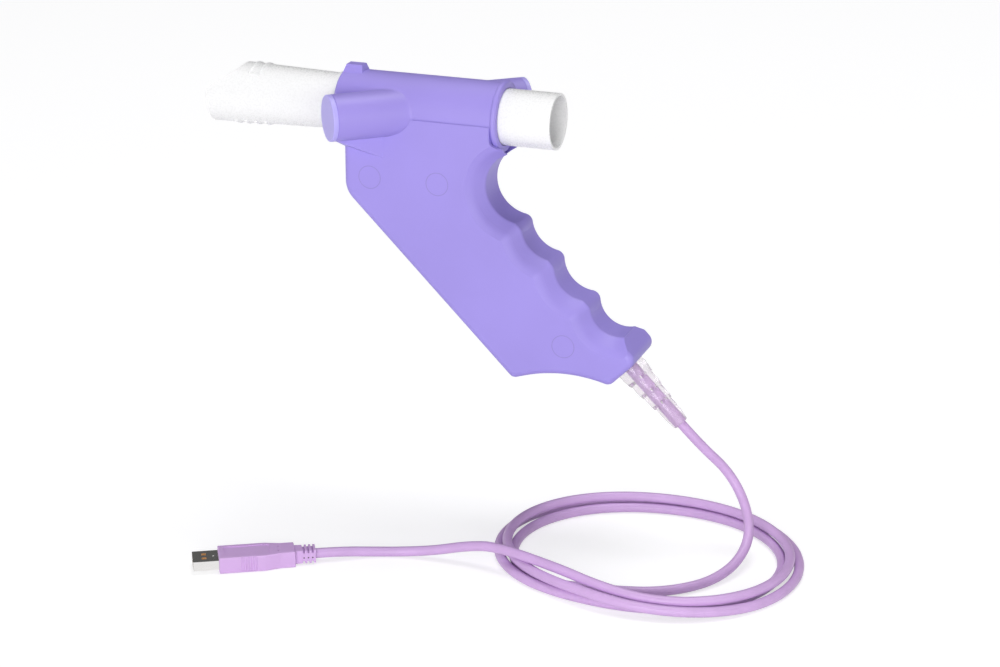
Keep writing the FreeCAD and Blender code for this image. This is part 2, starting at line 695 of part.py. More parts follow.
def make_sensor_barrel():
    mouth = -barrel_mouth_reach()
    exhaust = s.barrel_exhaust_reach
    tube = turned("barrel_turned", along_tube(0), (
        (s.barrel_radius - s.barrel_round, mouth),
        (s.barrel_radius, mouth + s.barrel_round),
        (s.barrel_radius, exhaust - s.collar_width - s.collar_height),
        (s.barrel_radius + s.collar_height, exhaust - s.collar_width),
        (s.barrel_radius + s.collar_height, exhaust),
        (s.tube_radius - s.tube_wall, exhaust),
        (s.tube_radius - s.tube_wall, mouth),
    ))
    front = CROSSING.x + float(exhaust)
    collar = float(s.barrel_radius + s.collar_height)

    def collar_edge(edge):
        return abs(edge.BoundBox.XMin - front) < 0.01 and edge.BoundBox.ZLength > 1.9 * collar

    edged = rounded("barrel_edged", tube, s.collar_round, collar_edge)
    bosses = []
    for name, side in (("boss_front", NEAR), ("boss_rear", FAR)):
        bosses.append(turned(name, along_sound(side, 0), (
            (0, 0),
            (s.boss_radius, 0),
            (s.boss_radius, s.boss_reach - s.seam_chamfer),
            (s.boss_radius - s.seam_chamfer, s.boss_reach),
            (0, s.boss_reach),
        )))
    solid = joined("barrel_and_bosses", [edged] + bosses)
    blended = rounded("barrel_with_bosses", solid, s.boss_blend, at_front_boss)
    lug_start = CROSSING + vector(mouth, 0, s.tube_radius)
    rise = s.barrel_radius - s.tube_radius + s.key_height
    half = s.key_width / 2
    lug = made("Part::Wedge", "key_lug", FreeCAD.Placement(lug_start, FreeCAD.Rotation(ALONG, 90)),
               Xmin=0, X2min=s.key_slope * 0.6, Xmax=s.key_length, X2max=s.key_length - s.key_slope * 0.4,
               Ymin=0, Ymax=rise, Zmin=-half, Z2min=s.key_slope - half, Zmax=half, Z2max=half - s.key_slope)
    keel_length = s.keel_exhaust_x - s.keel_mouth_x
    keel_height = s.keel_drop - s.tube_radius - s.tube_wall
    keel_place = FreeCAD.Placement(vector(s.keel_mouth_x, 0, below_tube(s.keel_drop)), NO_TURN)
    keel = block("keel", keel_place, keel_length, s.keel_thickness, keel_height)
    whole = joined("barrel_whole", (blended, lug, keel))
    length = barrel_mouth_reach() + s.barrel_exhaust_reach + s.key_length
    bore_start = along_tube(mouth - s.key_length / 2)
    tools = [cylinder("barrel_bore", bore_start, s.tube_radius + s.tube_clearance, length)]
    for name, side in (("front", NEAR), ("rear", FAR)):
        tools.append(cylinder(f"port_{name}", along_sound(side, 0), s.window_radius, s.boss_reach))
        depth = s.boss_reach - s.boss_floor
        tools.append(cylinder(f"boss_bore_{name}", along_sound(side, s.boss_floor), s.boss_bore, depth))
        way = channel_end(side) - channel_start(side)
        place = FreeCAD.Placement(channel_start(side), FreeCAD.Rotation(UP, way))
        tools.append(cylinder(f"lead_way_{name}", place, s.lead_radius + s.lead_gap, way.Length))
    for name, x in (("mouth", s.mouth_screw_x), ("middle", s.middle_screw_x)):
        middle = vector(x, s.grip_half, below_tube(s.upper_screw_drop))
        place = FreeCAD.Placement(middle, FreeCAD.Rotation(ALONG, 90))
        radius = s.pillar_radius + s.seat_fit
        tools.append(cylinder(f"keel_notch_{name}", place, radius, s.grip_half * 2))
    piece("sensor_barrel", cut("sensor_barrel", whole, *tools))


# Caps, transducers, isolation rings and leads in the bosses

def make_cap(label, side):
    spigot = s.boss_bore - s.cap_fit
    seam = s.boss_reach
    face = seam + s.cap_thickness
    cap = turned(f"cap_turned_{label}", along_sound(side, 0), (
        (spigot - s.cap_wall, seam - s.cap_spigot),
        (spigot, seam - s.cap_spigot),
        (spigot, seam),
        (s.boss_radius - s.seam_chamfer, seam),
        (s.boss_radius, seam + s.seam_chamfer),
        (s.boss_radius, face),
        (0, face),
        (0, seam),
        (spigot - s.cap_wall, seam),
    ))

    def rim(edge):
        out = (edge.Vertexes[0].Point - sound_point(side, face)).dot(sound_direction(side))
        return abs(out) < 0.01 and edge.BoundBox.ZLength > 1.9 * float(s.boss_radius)

    piece(f"transducer_cap_{label}", rounded(f"cap_rounded_{label}", cap, s.cap_round, rim))


def make_transducer(label, side):
    back = s.boss_floor + s.transducer_length
    body = turned(f"transducer_turned_{label}", along_sound(side, 0), (
        (0, s.boss_floor - s.nose_length),
        (s.nose_radius, s.boss_floor - s.nose_length),
        (s.nose_radius, s.boss_floor),
        (s.transducer_radius, s.boss_floor),
        (s.transducer_radius, back),
        (0, back),
    ))
    pins = []
    for index, sideways in enumerate((-s.pin_spacing / 2, s.pin_spacing / 2)):
        place = along_sound(side, back)
        place.Base = sound_point(side, back, 0, sideways)
        pins.append(cylinder(f"pin_{label}_{index}", place, s.pin_radius, s.pin_length))
    piece(f"transducer_{label}", joined(f"transducer_{label}", [body] + pins))

    ring = turned(f"ring_turned_{label}", along_sound(side, 0), (
        (s.transducer_radius + s.ring_fit, s.boss_floor),
        (s.boss_bore - s.ring_fit, s.boss_floor),
        (s.boss_bore - s.ring_fit, back),
        (s.transducer_radius + s.ring_fit, back),
    ))
    notch = block(f"ring_notch_{label}", along_sound(side, s.boss_floor), s.boss_bore, s.ring_notch,
                  s.transducer_length)
    piece(f"isolation_ring_{label}", cut(f"isolation_ring_{label}", ring, notch))


def board_point(along, across, depth=0.0):
    """Point given along the board from its middle, across it and in depth."""
    return slope_point(s.board_offset + along, s.board_across + across, depth)


def lead_route(side):
    """Rest of a transducer lead's way, from its channel to its socket on the board."""
    depth = -float(s.board_thickness + s.lead_socket_height) / 2
    end = -float(s.board_length) / 2 + float(s.socket_inset)
    across = side * float(s.lead_socket_spacing) / 2
    if side == NEAR:
        return [board_point(end - 10.0, across, depth), board_point(end, across, depth)]
    edge = float(s.board_width) / 2
    return [board_point(end + 3.4, edge + 10.7, 5.5), board_point(end + 5.6, edge + 3.6, 1.5),
            board_point(end + 2.5, edge - 0.3, depth),
            board_point(end + 2.5, across + float(s.lead_socket_width) / 2, depth)]


def make_lead(label, side):
    start = s.boss_floor + s.transducer_length + s.pin_length
    place = along_sound(side, start)
    place.Base = sound_point(side, start, s.clip_height / 2)
    clip = block(f"clip_{label}", place, s.clip_height, s.clip_length, s.clip_thickness)
    reach = start + s.clip_thickness / 2
    low = -(s.transducer_radius + s.boss_bore) / 2
    route = [sound_point(side, reach, -s.clip_height / 2 + s.lead_gap), sound_point(side, reach, low),
             channel_start(side), channel_end(side)] + lead_route(side)
    run = shaped(f"lead_run_{label}", tube_solid(f"transducer_lead_{label}", route, s.lead_radius))
    piece(f"transducer_lead_{label}", joined(f"transducer_lead_{label}", (clip, run)))


def make_boss_contents():
    for label, side in (("front", NEAR), ("rear", FAR)):
        make_cap(label, side)
        make_transducer(label, side)
        make_lead(label, side)


# Grip half shells

GROOVES = (s.index_radius, s.middle_radius, s.third_radius, s.little_radius)


def groove_axis(number):
    """Middle of one finger groove, counted from the index finger's."""
    slope = math.radians(float(s.groove_slope))
    step = s.groove_pitch * number
    return vector(s.groove_x + step * math.cos(slope), 0, s.groove_z - step * math.sin(slope))


def grip_outline():
    """Outline of the grip seen from its side, with the rounding of each corner."""
    diagonal = -s.belly_offset * math.sqrt(2)
    return [
        (vector(s.grip_left, 0, below_tube(s.grip_top_drop)), 0),
        (vector(s.throat_x, 0, below_tube(s.grip_top_drop)), 0),
        (vector(s.throat_x, 0, s.groove_z), 0),
        (groove_axis(0), 0),
        (groove_axis(3), 0),
        (slope_point(s.pommel_start, s.pommel_across), s.shoulder_round),
        (slope_point(s.end_offset, s.pommel_across), s.pommel_round),
        (slope_point(s.end_offset, s.heel_across), s.heel_round),
        (vector(s.hollow_x, 0, s.grip_bottom + s.hollow_rise), s.hollow_round),
        (vector(diagonal - s.grip_bottom, 0, s.grip_bottom), s.toe_round),
        (vector(s.grip_left, 0, diagonal - s.grip_left), s.belly_round),
    ]


def finger_spool(number, radius):
    """Cutter of one finger's groove: a spool that flares to both sides of the grip."""
    axis = groove_axis(number)
    flank = s.floor_half + s.flank_width
    edge = flank + s.rim_width
    half = [(0, edge, 0), (radius + s.flank_rise + s.rim_rise, edge, 0),
            (radius + s.flank_rise, flank, s.rim_round), (radius, s.floor_half, s.floor_round)]
    other = [(out, -side, rounding) for out, side, rounding in reversed(half)]
    corners = [(axis + vector(out, side, 0), rounding) for out, side, rounding in half + other]
    return Part.Face(rounded_wire(corners)).revolve(axis, ACROSS, 360)


def rod(radius, height, start, direction):
    return Part.makeCylinder(float(radius), float(height), start, direction)


def on_crest(edge):
    """Whether an edge is where two neighbouring finger grooves meet."""
    first = edge.FirstParameter
    span = edge.LastParameter - first
    spots = [edge.valueAt(first + span * share) for share in (0.2, 0.5, 0.8)]
    for number, radius in enumerate(GROOVES[:-1]):
        over = []
        for spot in spots:
            here = spot - groove_axis(number)
            there = spot - groove_axis(number + 1)
            reach_here = math.hypot(here.x, here.z) - float(radius)
            reach_there = math.hypot(there.x, there.z) - float(GROOVES[number + 1])
            over.append(abs(reach_here - reach_there))
        if max(over) < 0.02:
            return True
    return False


def grip_body():
    """Whole outside of the grip before it is split and hollowed."""
    half = float(s.grip_half)
    face = Part.Face(rounded_wire(grip_outline()))
    face.translate(vector(0, -half, 0))
    solid = face.extrude(vector(0, 2 * half, 0))
    rim = []
    for edge in solid.Edges:
        box = edge.BoundBox
        flat = box.YLength < 0.01
        low = box.ZMax < float(s.groove_z) + 0.01
        upright = abs(box.XMax - float(s.grip_left)) < 0.01
        if flat and (low or upright):
            rim.append(edge)
    solid = solid.makeFillet(float(s.grip_edge), rim)
    solid = solid.cut([finger_spool(number, radius) for number, radius in enumerate(GROOVES)])
    return solid.makeFillet(float(s.crest_round), [edge for edge in solid.Edges if on_crest(edge)])


def shell_cutters():
    """Everything that both half shells leave free."""
    half = float(s.grip_half)
    tall = below_tube(s.grip_top_drop) + s.barrel_radius
    throat = [
        (vector(s.collar_step_x, -2 * half, below_tube(s.throat_drop)), s.throat_round),
        (vector(s.exhaust_reach, -2 * half, below_tube(s.throat_drop)), 0),
        (vector(s.exhaust_reach, -2 * half, tall), 0),
        (vector(s.collar_step_x, -2 * half, tall), 0),
    ]
    cutters = [Part.Face(rounded_wire(throat)).extrude(vector(0, 4 * half, 0))]
    seat = s.barrel_radius + s.seat_fit
    reach = barrel_mouth_reach() + s.barrel_exhaust_reach
    cutters.append(rod(seat, reach * 2, CROSSING - vector(reach, 0, 0), ALONG))
    collar_start = s.barrel_exhaust_reach - s.collar_width - s.collar_height
    wide = seat + s.collar_height + s.seam_gap
    cutters.append(rod(wide, reach, CROSSING + vector(collar_start, 0, 0), ALONG))
    seam = rod(seat + s.seam_gap, reach * 2, CROSSING - vector(reach, 0, 0), ALONG)
    low = vector(-reach * 2, -2 * half, below_tube(s.grip_top_drop) - s.seam_depth)
    cutters.append(seam.common(Part.makeBox(float(reach * 4), 4 * half, float(s.barrel_radius), low)))
    for side in (NEAR, FAR):
        wide = s.boss_radius + s.seat_fit
        cutters.append(rod(wide, s.boss_reach * 2, sound_point(side, 0), sound_direction(side)))
        way = channel_end(side) - channel_start(side)
        cutters.append(rod(s.lead_radius + s.lead_gap, way.Length, channel_start(side), way))
    keel_length = s.keel_exhaust_x - s.keel_mouth_x + s.seat_fit * 2
    keel_width = s.keel_thickness + s.seat_fit * 2
    keel_corner = vector(s.keel_mouth_x - s.seat_fit, -keel_width / 2, below_tube(s.room_top_drop))
    cutters.append(Part.makeBox(float(keel_length), float(keel_width), float(s.room_top_drop), keel_corner))
    cutters.append(grip_room())
    outward = slope_point(1, 0)
    at_end = slope_point(s.end_offset - s.boot_root, s.boot_across)
    cutters.append(rod(s.boot_root_radius + s.cable_fit, s.boot_root * 2, at_end, outward))
    depth = s.boot_root + s.boot_flange + s.cable_fit
    at_flange = slope_point(s.end_offset - depth, s.boot_across)
    wide = s.boot_flange_radius + s.cable_fit
    cutters.append(rod(wide, s.boot_flange + s.cable_fit, at_flange, outward))
    at_tail = slope_point(s.end_offset - depth - s.cable_tail, s.boot_across)
    cutters.append(rod(s.cable_radius + s.cable_fit, s.cable_tail + s.boot_root, at_tail, outward))
    return cutters


def grip_room():
    """Hollow of the grip, which holds the board."""
    diagonal = (s.grip_wall - s.belly_offset) * math.sqrt(2)
    left = s.grip_left + s.grip_wall
    inner = float(s.grip_half - s.grip_wall)
    corner = slope_point(s.room_end, s.room_across)
    corners = [
        vector(left, -inner, below_tube(s.room_top_drop)),
        vector(s.room_throat_x, -inner, below_tube(s.room_top_drop)),
        vector(s.room_throat_x, -inner, s.room_throat_z),
        vector(s.room_across * math.sqrt(2) - s.room_turn_z, -inner, s.room_turn_z),
        vector(corner.x, -inner, corner.z),
        vector(s.room_bottom + s.room_end * math.sqrt(2), -inner, s.room_bottom),
        vector(diagonal - s.room_bottom, -inner, s.room_bottom),
        vector(left, -inner, diagonal - left),
    ]
    room = Part.Face(Part.makePolygon(corners + corners[:1])).extrude(vector(0, 2 * inner, 0))
    return room.cut([finger_spool(number, radius + s.grip_wall) for number, radius in enumerate(GROOVES)])


def gusset(side):
    """Web between a boss and the grip's flat side."""
    inner = s.grip_half - s.grip_wall / 2
    tip = CROSSING + vector(side * s.gusset_outer_x, side * s.gusset_reach, 0)
    outer = CROSSING + vector(side * s.gusset_outer_x, side * inner, 0)
    root = CROSSING + vector(side * s.gusset_inner_x, side * inner, 0)
    drops = (s.gusset_outer_drop, s.gusset_inner_drop, s.gusset_tip_drop)
    low = [spot - UP * float(drop) for spot, drop in zip((outer, root, tip), drops)]
    high = [spot - UP * float(s.gusset_top_drop) for spot in (outer, root, tip)]
    loops = [low, high]
    for index in range(3):
        following = (index + 1) % 3
        loops.append([low[index], low[following], high[following], high[index]])
    shell = Part.makeShell([Part.Face(Part.makePolygon(loop + loop[:1])) for loop in loops])
    shell.sewShape()
    solid = Part.makeSolid(shell)
    if solid.Volume < 0:
        solid.reverse()
    return solid


SCREWS = (
    (s.mouth_screw_x, below_tube(s.upper_screw_drop)),
    (s.middle_screw_x, below_tube(s.upper_screw_drop)),
    (s.lower_screw_x, s.lower_screw_z),
)
POSTS = (-s.post_spacing / 2, s.post_spacing / 2)


def make_half_shell(label, side, whole, cutters):
    inner = s.grip_half - s.grip_wall / 2
    big = float(s.grip_half) * 20
    keep = Part.makeBox(big, big / 2, big, vector(-big / 2, 0 if side == FAR else -big / 2, -big / 2))
    shell = whole.common(keep).fuse(gusset(side)).cut(cutters)
    shell = shell.cut(doc.getObject("barrel_with_bosses").Shape)
    additions = []
    for x, z in SCREWS:
        additions.append(rod(s.pillar_radius, inner, vector(x, 0, z), ACROSS * side))
    seat = s.grip_half - s.screw_sink
    tip = seat - s.screw_length - s.screw_fit
    holes = []
    for x, z in SCREWS:
        holes.append(rod(s.screw_radius + s.screw_fit, s.grip_half - tip, vector(x, tip, z), ACROSS))
        holes.append(rod(s.head_radius + s.head_gap, s.grip_half, vector(x, seat, z), ACROSS))
    if side == FAR:
        back = s.board_thickness / 2
        for along in POSTS:
            start = board_point(along, 0, back)
            additions.append(rod(s.post_radius, inner - back, start, ACROSS))
            holes.append(rod(s.small_screw_radius + s.screw_fit, s.small_screw_length, start, ACROSS))
    shell = shell.fuse(additions).cut(holes).removeSplitter()
    piece(label, shaped(label, shell))


def make_grip():
    whole = grip_body()
    cutters = shell_cutters()
    make_half_shell("grip_shell_near", NEAR, whole, cutters)
    make_half_shell("grip_shell_far", FAR, whole, cutters)


def make_grip_screws():
    turn = FreeCAD.Rotation(ALONG, -90)
    screws = []
    for number, (x, z) in enumerate(SCREWS):
        place = FreeCAD.Placement(vector(x, s.grip_half - s.screw_sink, z), turn)
        screws.append(turned(f"grip_screw_{number}", place, (
            (0, -s.screw_length),
            (s.screw_radius, -s.screw_length),
            (s.screw_radius, 0),
            (s.head_radius, 0),
            (s.head_radius, s.head_height),
            (s.drive_radius, s.head_height),
            (s.drive_radius, s.head_height - s.drive_depth),
            (0, s.head_height - s.drive_depth),
        )))
    piece("grip_screws", grouped("grip_screws", screws))


# Board with its parts

BOARD_TURN = FreeCAD.Rotation(slope_point(1, 0), slope_point(0, 1), -ACROSS, "XZY")


def on_board(name, along, across, length, width, height):
    """Block on the board's near face, its middle given along and across the board."""
    base = board_point(along, across, -s.board_thickness / 2)
    place = shifted(FreeCAD.Placement(base, BOARD_TURN), -length / 2, 0, 0)
    return block(name, place, length, width, height)


def make_board():
    back = FreeCAD.Placement(board_point(0, 0, s.board_thickness / 2), BOARD_TURN)
    blank = block("board_blank", shifted(back, -s.board_length / 2, 0, 0), s.board_length, s.board_width,
                  s.board_thickness)
    holes = []
    screws = []
    for number, along in enumerate(POSTS):
        radius = s.small_screw_radius + s.screw_fit
        place = shifted(back, along, 0, 0)
        holes.append(cylinder(f"board_hole_{number}", place, radius, s.board_thickness))
        seat = FreeCAD.Placement(board_point(along, 0, -s.board_thickness / 2), BOARD_TURN)
        screws.append(turned(f"board_screw_{number}", seat, (
            (0, -s.small_screw_length),
            (s.small_screw_radius, -s.small_screw_length),
            (s.small_screw_radius, 0),
            (s.small_head_radius, 0),
            (s.small_head_radius, s.small_head_height),
            (0, s.small_head_height),
        )))
    piece("main_board", cut("main_board", blank, *holes))
    piece("board_screws", grouped("board_screws", screws))
    piece("processor_chip", on_board("processor_chip", s.processor_along, s.processor_across,
                                     s.processor_side, s.processor_side, s.chip_height))
    piece("signal_chip", on_board("signal_chip", s.signal_along, s.signal_across, s.signal_side,
                                  s.signal_side, s.chip_height))
    piece("timing_crystal", on_board("timing_crystal", s.signal_along, -s.signal_across,
                                     s.crystal_length, s.crystal_width, s.crystal_height))
    end = s.board_length / 2 - s.socket_inset
    piece("cable_socket", on_board("cable_socket", end - s.socket_length / 2, s.socket_across,
                                   s.socket_length, s.socket_width, s.socket_height))
    sockets = []
    for number, across in enumerate((-s.lead_socket_spacing / 2, s.lead_socket_spacing / 2)):
        along = s.lead_socket_length / 2 - end
        sockets.append(on_board(f"lead_socket_{number}", along, across, s.lead_socket_length,
                                s.lead_socket_width, s.lead_socket_height))
    piece("lead_sockets", grouped("lead_sockets", sockets))
    wires = []
    depth = -float(s.board_thickness + s.socket_height) / 2
    tail_end = s.end_offset - s.boot_root - s.boot_flange - s.cable_fit - s.cable_tail
    for number in range(count(s.wire_count)):
        shift = float(s.wire_pitch) * (number - (count(s.wire_count) - 1) / 2)
        route = [slope_point(tail_end, s.boot_across, shift * 0.8),
                 slope_point(tail_end - 9.0, s.boot_across, shift * 0.8),
                 board_point(end + 10.0, s.socket_across + shift, depth),
                 board_point(end, s.socket_across + shift, depth)]
        wires.append(shaped(f"wire_{number}", tube_solid(f"wire_{number}", route, s.wire_radius)))
    piece("cable_wires", grouped("cable_wires", wires))


# Strain relief and the cable inside it

def make_strain_relief():
    corners = [
        (s.cable_radius + s.cable_fit, -(s.boot_root + s.boot_flange)),
        (s.boot_flange_radius, -(s.boot_root + s.boot_flange)),
        (s.boot_flange_radius, -s.boot_root),
        (s.boot_root_radius, -s.boot_root),
        (s.boot_root_radius, 0),
        (s.boot_radius, 0),
    ]
    taper = (s.boot_radius - s.boot_tip_radius) / s.boot_length
    slots = []
    for ring in range(count(s.boot_ring_count)):
        reach = s.boot_first_ring + s.boot_ring_pitch * ring
        radius = s.boot_radius - taper * reach
        corners.append((radius, reach))
        corners.append((radius - s.boot_step, reach))
        for slot in range(count(s.slots_per_ring)):
            start = along_boot(s.end_offset + reach - s.slot_wall - s.slot_width)
            turn = FreeCAD.Rotation(UP, 360 / count(s.slots_per_ring) * (slot + 0.5))
            turned_start = start.multiply(FreeCAD.Placement(vector(0, 0, 0), turn))
            place = shifted(turned_start, radius - s.slot_depth, 0, 0)
            slots.append(block(f"slot_{ring}_{slot}", place, s.slot_depth * 2, s.slot_span, s.slot_width))
    corners.append((s.boot_tip_radius, s.boot_length - s.boot_step))
    corners.append((s.boot_tip_radius - s.boot_step, s.boot_length))
    corners.append((s.cable_radius + s.cable_fit, s.boot_length))
    boot = turned("boot_turned", along_boot(s.end_offset), corners)
    piece("strain_relief_boot", cut("strain_relief_boot", boot, *slots))
    inside = s.boot_root + s.boot_flange + s.cable_fit + s.cable_tail
    start = along_boot(s.end_offset - inside)
    piece("cord_tail", cylinder("cord_tail", start, s.cable_radius, inside + s.boot_length))


# Free cable: down from the strain relief, round the coil and on to the plug

CABLE_EXIT = slope_point(s.end_offset + s.boot_length, s.boot_across)
ON_FLOOR = FLOOR + float(s.cable_radius)
PLUG_END = s.plug_length + s.neck_length

DROP_ROUTE = [
    CABLE_EXIT,
    slope_point(s.end_offset + s.boot_length + 14.0, s.boot_across),
    vector(101.2, 6.4, -76.6),
    vector(111.0, 2.4, -90.2),
    vector(116.4, -8.8, -100.6),
    vector(115.2, -24.3, -107.0),
    vector(109.1, -39.9, ON_FLOOR + 0.4),
    vector(99.2, -53.0, ON_FLOOR),
    vector(85.7, -62.4, ON_FLOOR),
    vector(70.1, -66.4, ON_FLOOR),
    vector(57.0, -68.4, ON_FLOOR),
]

LEAD_ROUTE = [
    vector(10.5, -58.9, FLOOR + 11.3),
    vector(-4.0, -58.0, FLOOR + 9.0),
    vector(-20.0, -58.6, FLOOR + 4.4),
    vector(-35.0, -60.8, ON_FLOOR),
    vector(-49.0, -65.8, ON_FLOOR),
    plug_point(PLUG_END + 12.0),
    plug_point(PLUG_END),
]


def make_cable():
    piece("cord_drop", shaped("cord_drop", tube_solid("cord_drop", DROP_ROUTE, s.cable_radius)))
    piece("cord_lead", shaped("cord_lead", tube_solid("cord_lead", LEAD_ROUTE, s.cable_radius)))
    middle = vector(s.coil_x, s.coil_y, FLOOR)
    long_way = FreeCAD.Rotation(UP, float(s.coil_turn)).multVec(ALONG)
    rings = []
    for long_radius, short_radius in ((s.coil_outer_length, s.coil_outer_width),
                                      (s.coil_inner_length, s.coil_inner_width)):
        end = middle + long_way * float(long_radius)
        side = middle + UP.cross(long_way) * float(short_radius)
        wire = Part.Wire([Part.Ellipse(end, side, middle).toShape()])
        rings.append(Part.Face(wire).extrude(UP * float(s.coil_height)))
    coil = rings[0].cut(rings[1])
    level = [edge for edge in coil.Edges if edge.BoundBox.ZLength < 0.01]
    coil = coil.makeFillet(float(s.coil_round), level)
    piece("cord_coil", shaped("cord_coil", coil))


# Plug

def plug_box(along, length, width, height, low, across=0.0):
    """Plain box in the plug, its lower face at a height over the plug's middle."""
    box = Part.makeBox(float(length), float(width), float(height))
    box.Placement = shifted(in_plug(along, across, low), 0, -width / 2, 0)
    return box


def make_overmould():
    front = s.plug_front_width / 2
    rear = s.plug_rear_width / 2
    low = -s.plug_height / 2
    waist = s.plug_waist_end - s.plug_waist_start
    side = [(0, front, 0), (s.plug_waist_start, front, waist), (s.plug_waist_end, rear, waist),
            (s.plug_length, rear, 0)]
    corners = [(plug_point(along, -across, low), rounding) for along, across, rounding in side]
    corners += [(plug_point(along, across, low), rounding) for along, across, rounding in reversed(side)]
    body = Part.Face(rounded_wire(corners)).extrude(UP * float(s.plug_height))
    body = body.makeFillet(float(s.plug_round), body.Edges)
    overlap = s.plug_round * 2
    neck = Part.makeBox(float(s.neck_length + overlap), float(s.neck_width), float(s.neck_height))
    neck = neck.makeFillet(float(s.plug_round), [edge for edge in neck.Edges if edge.BoundBox.XLength > 1])
    rear = in_plug(s.plug_length - overlap, 0, -s.neck_height / 2)
    neck.Placement = shifted(rear, 0, -s.neck_width / 2, 0)
    cuts = [plug_box(0, s.usb_depth, s.usb_width, s.usb_height, -s.usb_height / 2)]
    for number in range(count(s.rib_count)):
        along = s.rib_first + s.rib_pitch * number
        for side in (-1, 1):
            start = plug_point(along, (front + s.rib_width / 2 - s.rib_depth) * side, -s.plug_height)
            cuts.append(rod(s.rib_width / 2, s.plug_height * 2, start, UP))
    panel = Part.makeBox(float(s.panel_length), float(s.panel_width), float(s.panel_depth) * 2)
    uprights = [edge for edge in panel.Edges if edge.BoundBox.ZLength > 0.1]
    panel = panel.makeFillet(float(s.panel_round), uprights)
    top = s.plug_height / 2 - s.panel_depth
    panel.Placement = shifted(in_plug(s.panel_start, 0, top), 0, -s.panel_width / 2, 0)
    cuts.append(panel)
    for across in (-s.dimple_spacing / 2, s.dimple_spacing / 2):
        start = plug_point(s.dimple_reach, across, s.plug_height / 2 - s.dimple_depth)
        cuts.append(rod(s.dimple_radius, s.plug_height, start, UP))
    for number in range(count(s.neck_slot_count)):
        along = s.plug_length + s.neck_slot_first + s.neck_slot_pitch * number - s.neck_slot / 2
        for height in (s.neck_height / 2 - s.neck_slot_depth, -s.neck_height / 2):
            cuts.append(plug_box(along, s.neck_slot, s.neck_width, s.neck_slot_depth, height))
    piece("plug_overmould", shaped("plug_overmould", body.fuse(neck).cut(cuts)))


def make_metal_shell():
    whole = s.usb_length + s.usb_depth
    inner_width = s.usb_width - s.usb_wall * 2
    inner_height = s.usb_height - s.usb_wall * 2
    outside = block("usb_outside", in_plug(-s.usb_length, 0, -s.usb_height / 2), whole, s.usb_width,
                    s.usb_height)
    inside = block("usb_inside", in_plug(-s.usb_length, 0, -inner_height / 2), whole, inner_width,
                   inner_height)
    windows = []
    for number, across in enumerate((-s.latch_offset, s.latch_offset)):
        place = in_plug(-(s.latch_reach + s.latch_side / 2), across, -s.usb_height)
        windows.append(block(f"latch_window_{number}", place, s.latch_side, s.latch_side, s.usb_height * 2))
    piece("plug_shell", cut("plug_shell", outside, inside, *windows))


def make_insert():
    width = s.usb_width - s.usb_wall * 2 - s.insert_fit * 2
    top = s.usb_height / 2 - s.usb_wall - s.insert_fit
    start = s.tongue_inset - s.usb_length
    length = s.usb_length + s.usb_depth - s.tongue_inset
    tongue = block("tongue", in_plug(start, 0, top - s.tongue_height), length, width, s.tongue_height)
    base = block("insert_base", in_plug(0, 0, -top), s.usb_depth, width, top * 2)
    piece("plug_insert", joined("plug_insert", (tongue, base)))
    contacts = []
    for number in range(count(s.contact_count)):
        across = s.contact_pitch * (number - (count(s.contact_count) - 1) / 2)
        place = in_plug(-s.contact_length, across, top - s.tongue_height - s.contact_height)
        contacts.append(block(f"contact_{number}", place, s.contact_length, s.contact_width,
                              s.contact_height))
    piece("plug_contacts", grouped("plug_contacts", contacts))


make_flow_tube()
make_sensor_barrel()
make_boss_contents()
make_grip()
make_grip_screws()
make_board()
make_strain_relief()
make_cable()
make_overmould()
make_metal_shell()
make_insert()
doc.recompute()

for thing in doc.Objects:
    if "Invalid" in thing.State or "Error" in thing.State:
        raise RuntimeError(f"{thing.Label} could not be built: {thing.State}")
for thing in pieces:
    if thing.Shape.isNull() or not thing.Shape.isValid():
        raise RuntimeError(f"{thing.Label} has no valid shape")
    if not thing.Shape.Solids or thing.Shape.Volume <= 0:
        raise RuntimeError(f"{thing.Label} is not solid")

os.makedirs("parts", exist_ok=True)
for thing in pieces:
    thing.Shape.exportStep(f"parts/{thing.Label}.step")
    print(f"{thing.Label}: {len(thing.Shape.Solids)} solids, {thing.Shape.Volume:.1f} mm3")
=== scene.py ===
"""Looks of a hand-held spirometer: finishes, the coiled cable and the small moulded details."""

import math

import bpy
from bpy.props import FloatProperty, FloatVectorProperty, IntProperty, PointerProperty
from mathutils import Matrix, Quaternion, Vector


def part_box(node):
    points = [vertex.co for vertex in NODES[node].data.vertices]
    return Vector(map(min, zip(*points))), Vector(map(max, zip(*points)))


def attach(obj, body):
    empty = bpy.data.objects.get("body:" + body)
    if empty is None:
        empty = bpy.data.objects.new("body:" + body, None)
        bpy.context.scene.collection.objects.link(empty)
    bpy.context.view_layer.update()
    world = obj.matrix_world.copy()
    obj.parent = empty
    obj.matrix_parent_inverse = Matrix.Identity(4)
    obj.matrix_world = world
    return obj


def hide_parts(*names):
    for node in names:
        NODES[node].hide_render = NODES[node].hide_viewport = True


bl_info = {
    "name": "Spirometer finishes",
    "version": (1, 0, 0),
    "blender": (4, 5, 0),
    "location": "3D View > Sidebar > Spirometer",
    "description": "Dresses the assembled spirometer with materials, its cable and moulded details",
    "category": "Object",
}

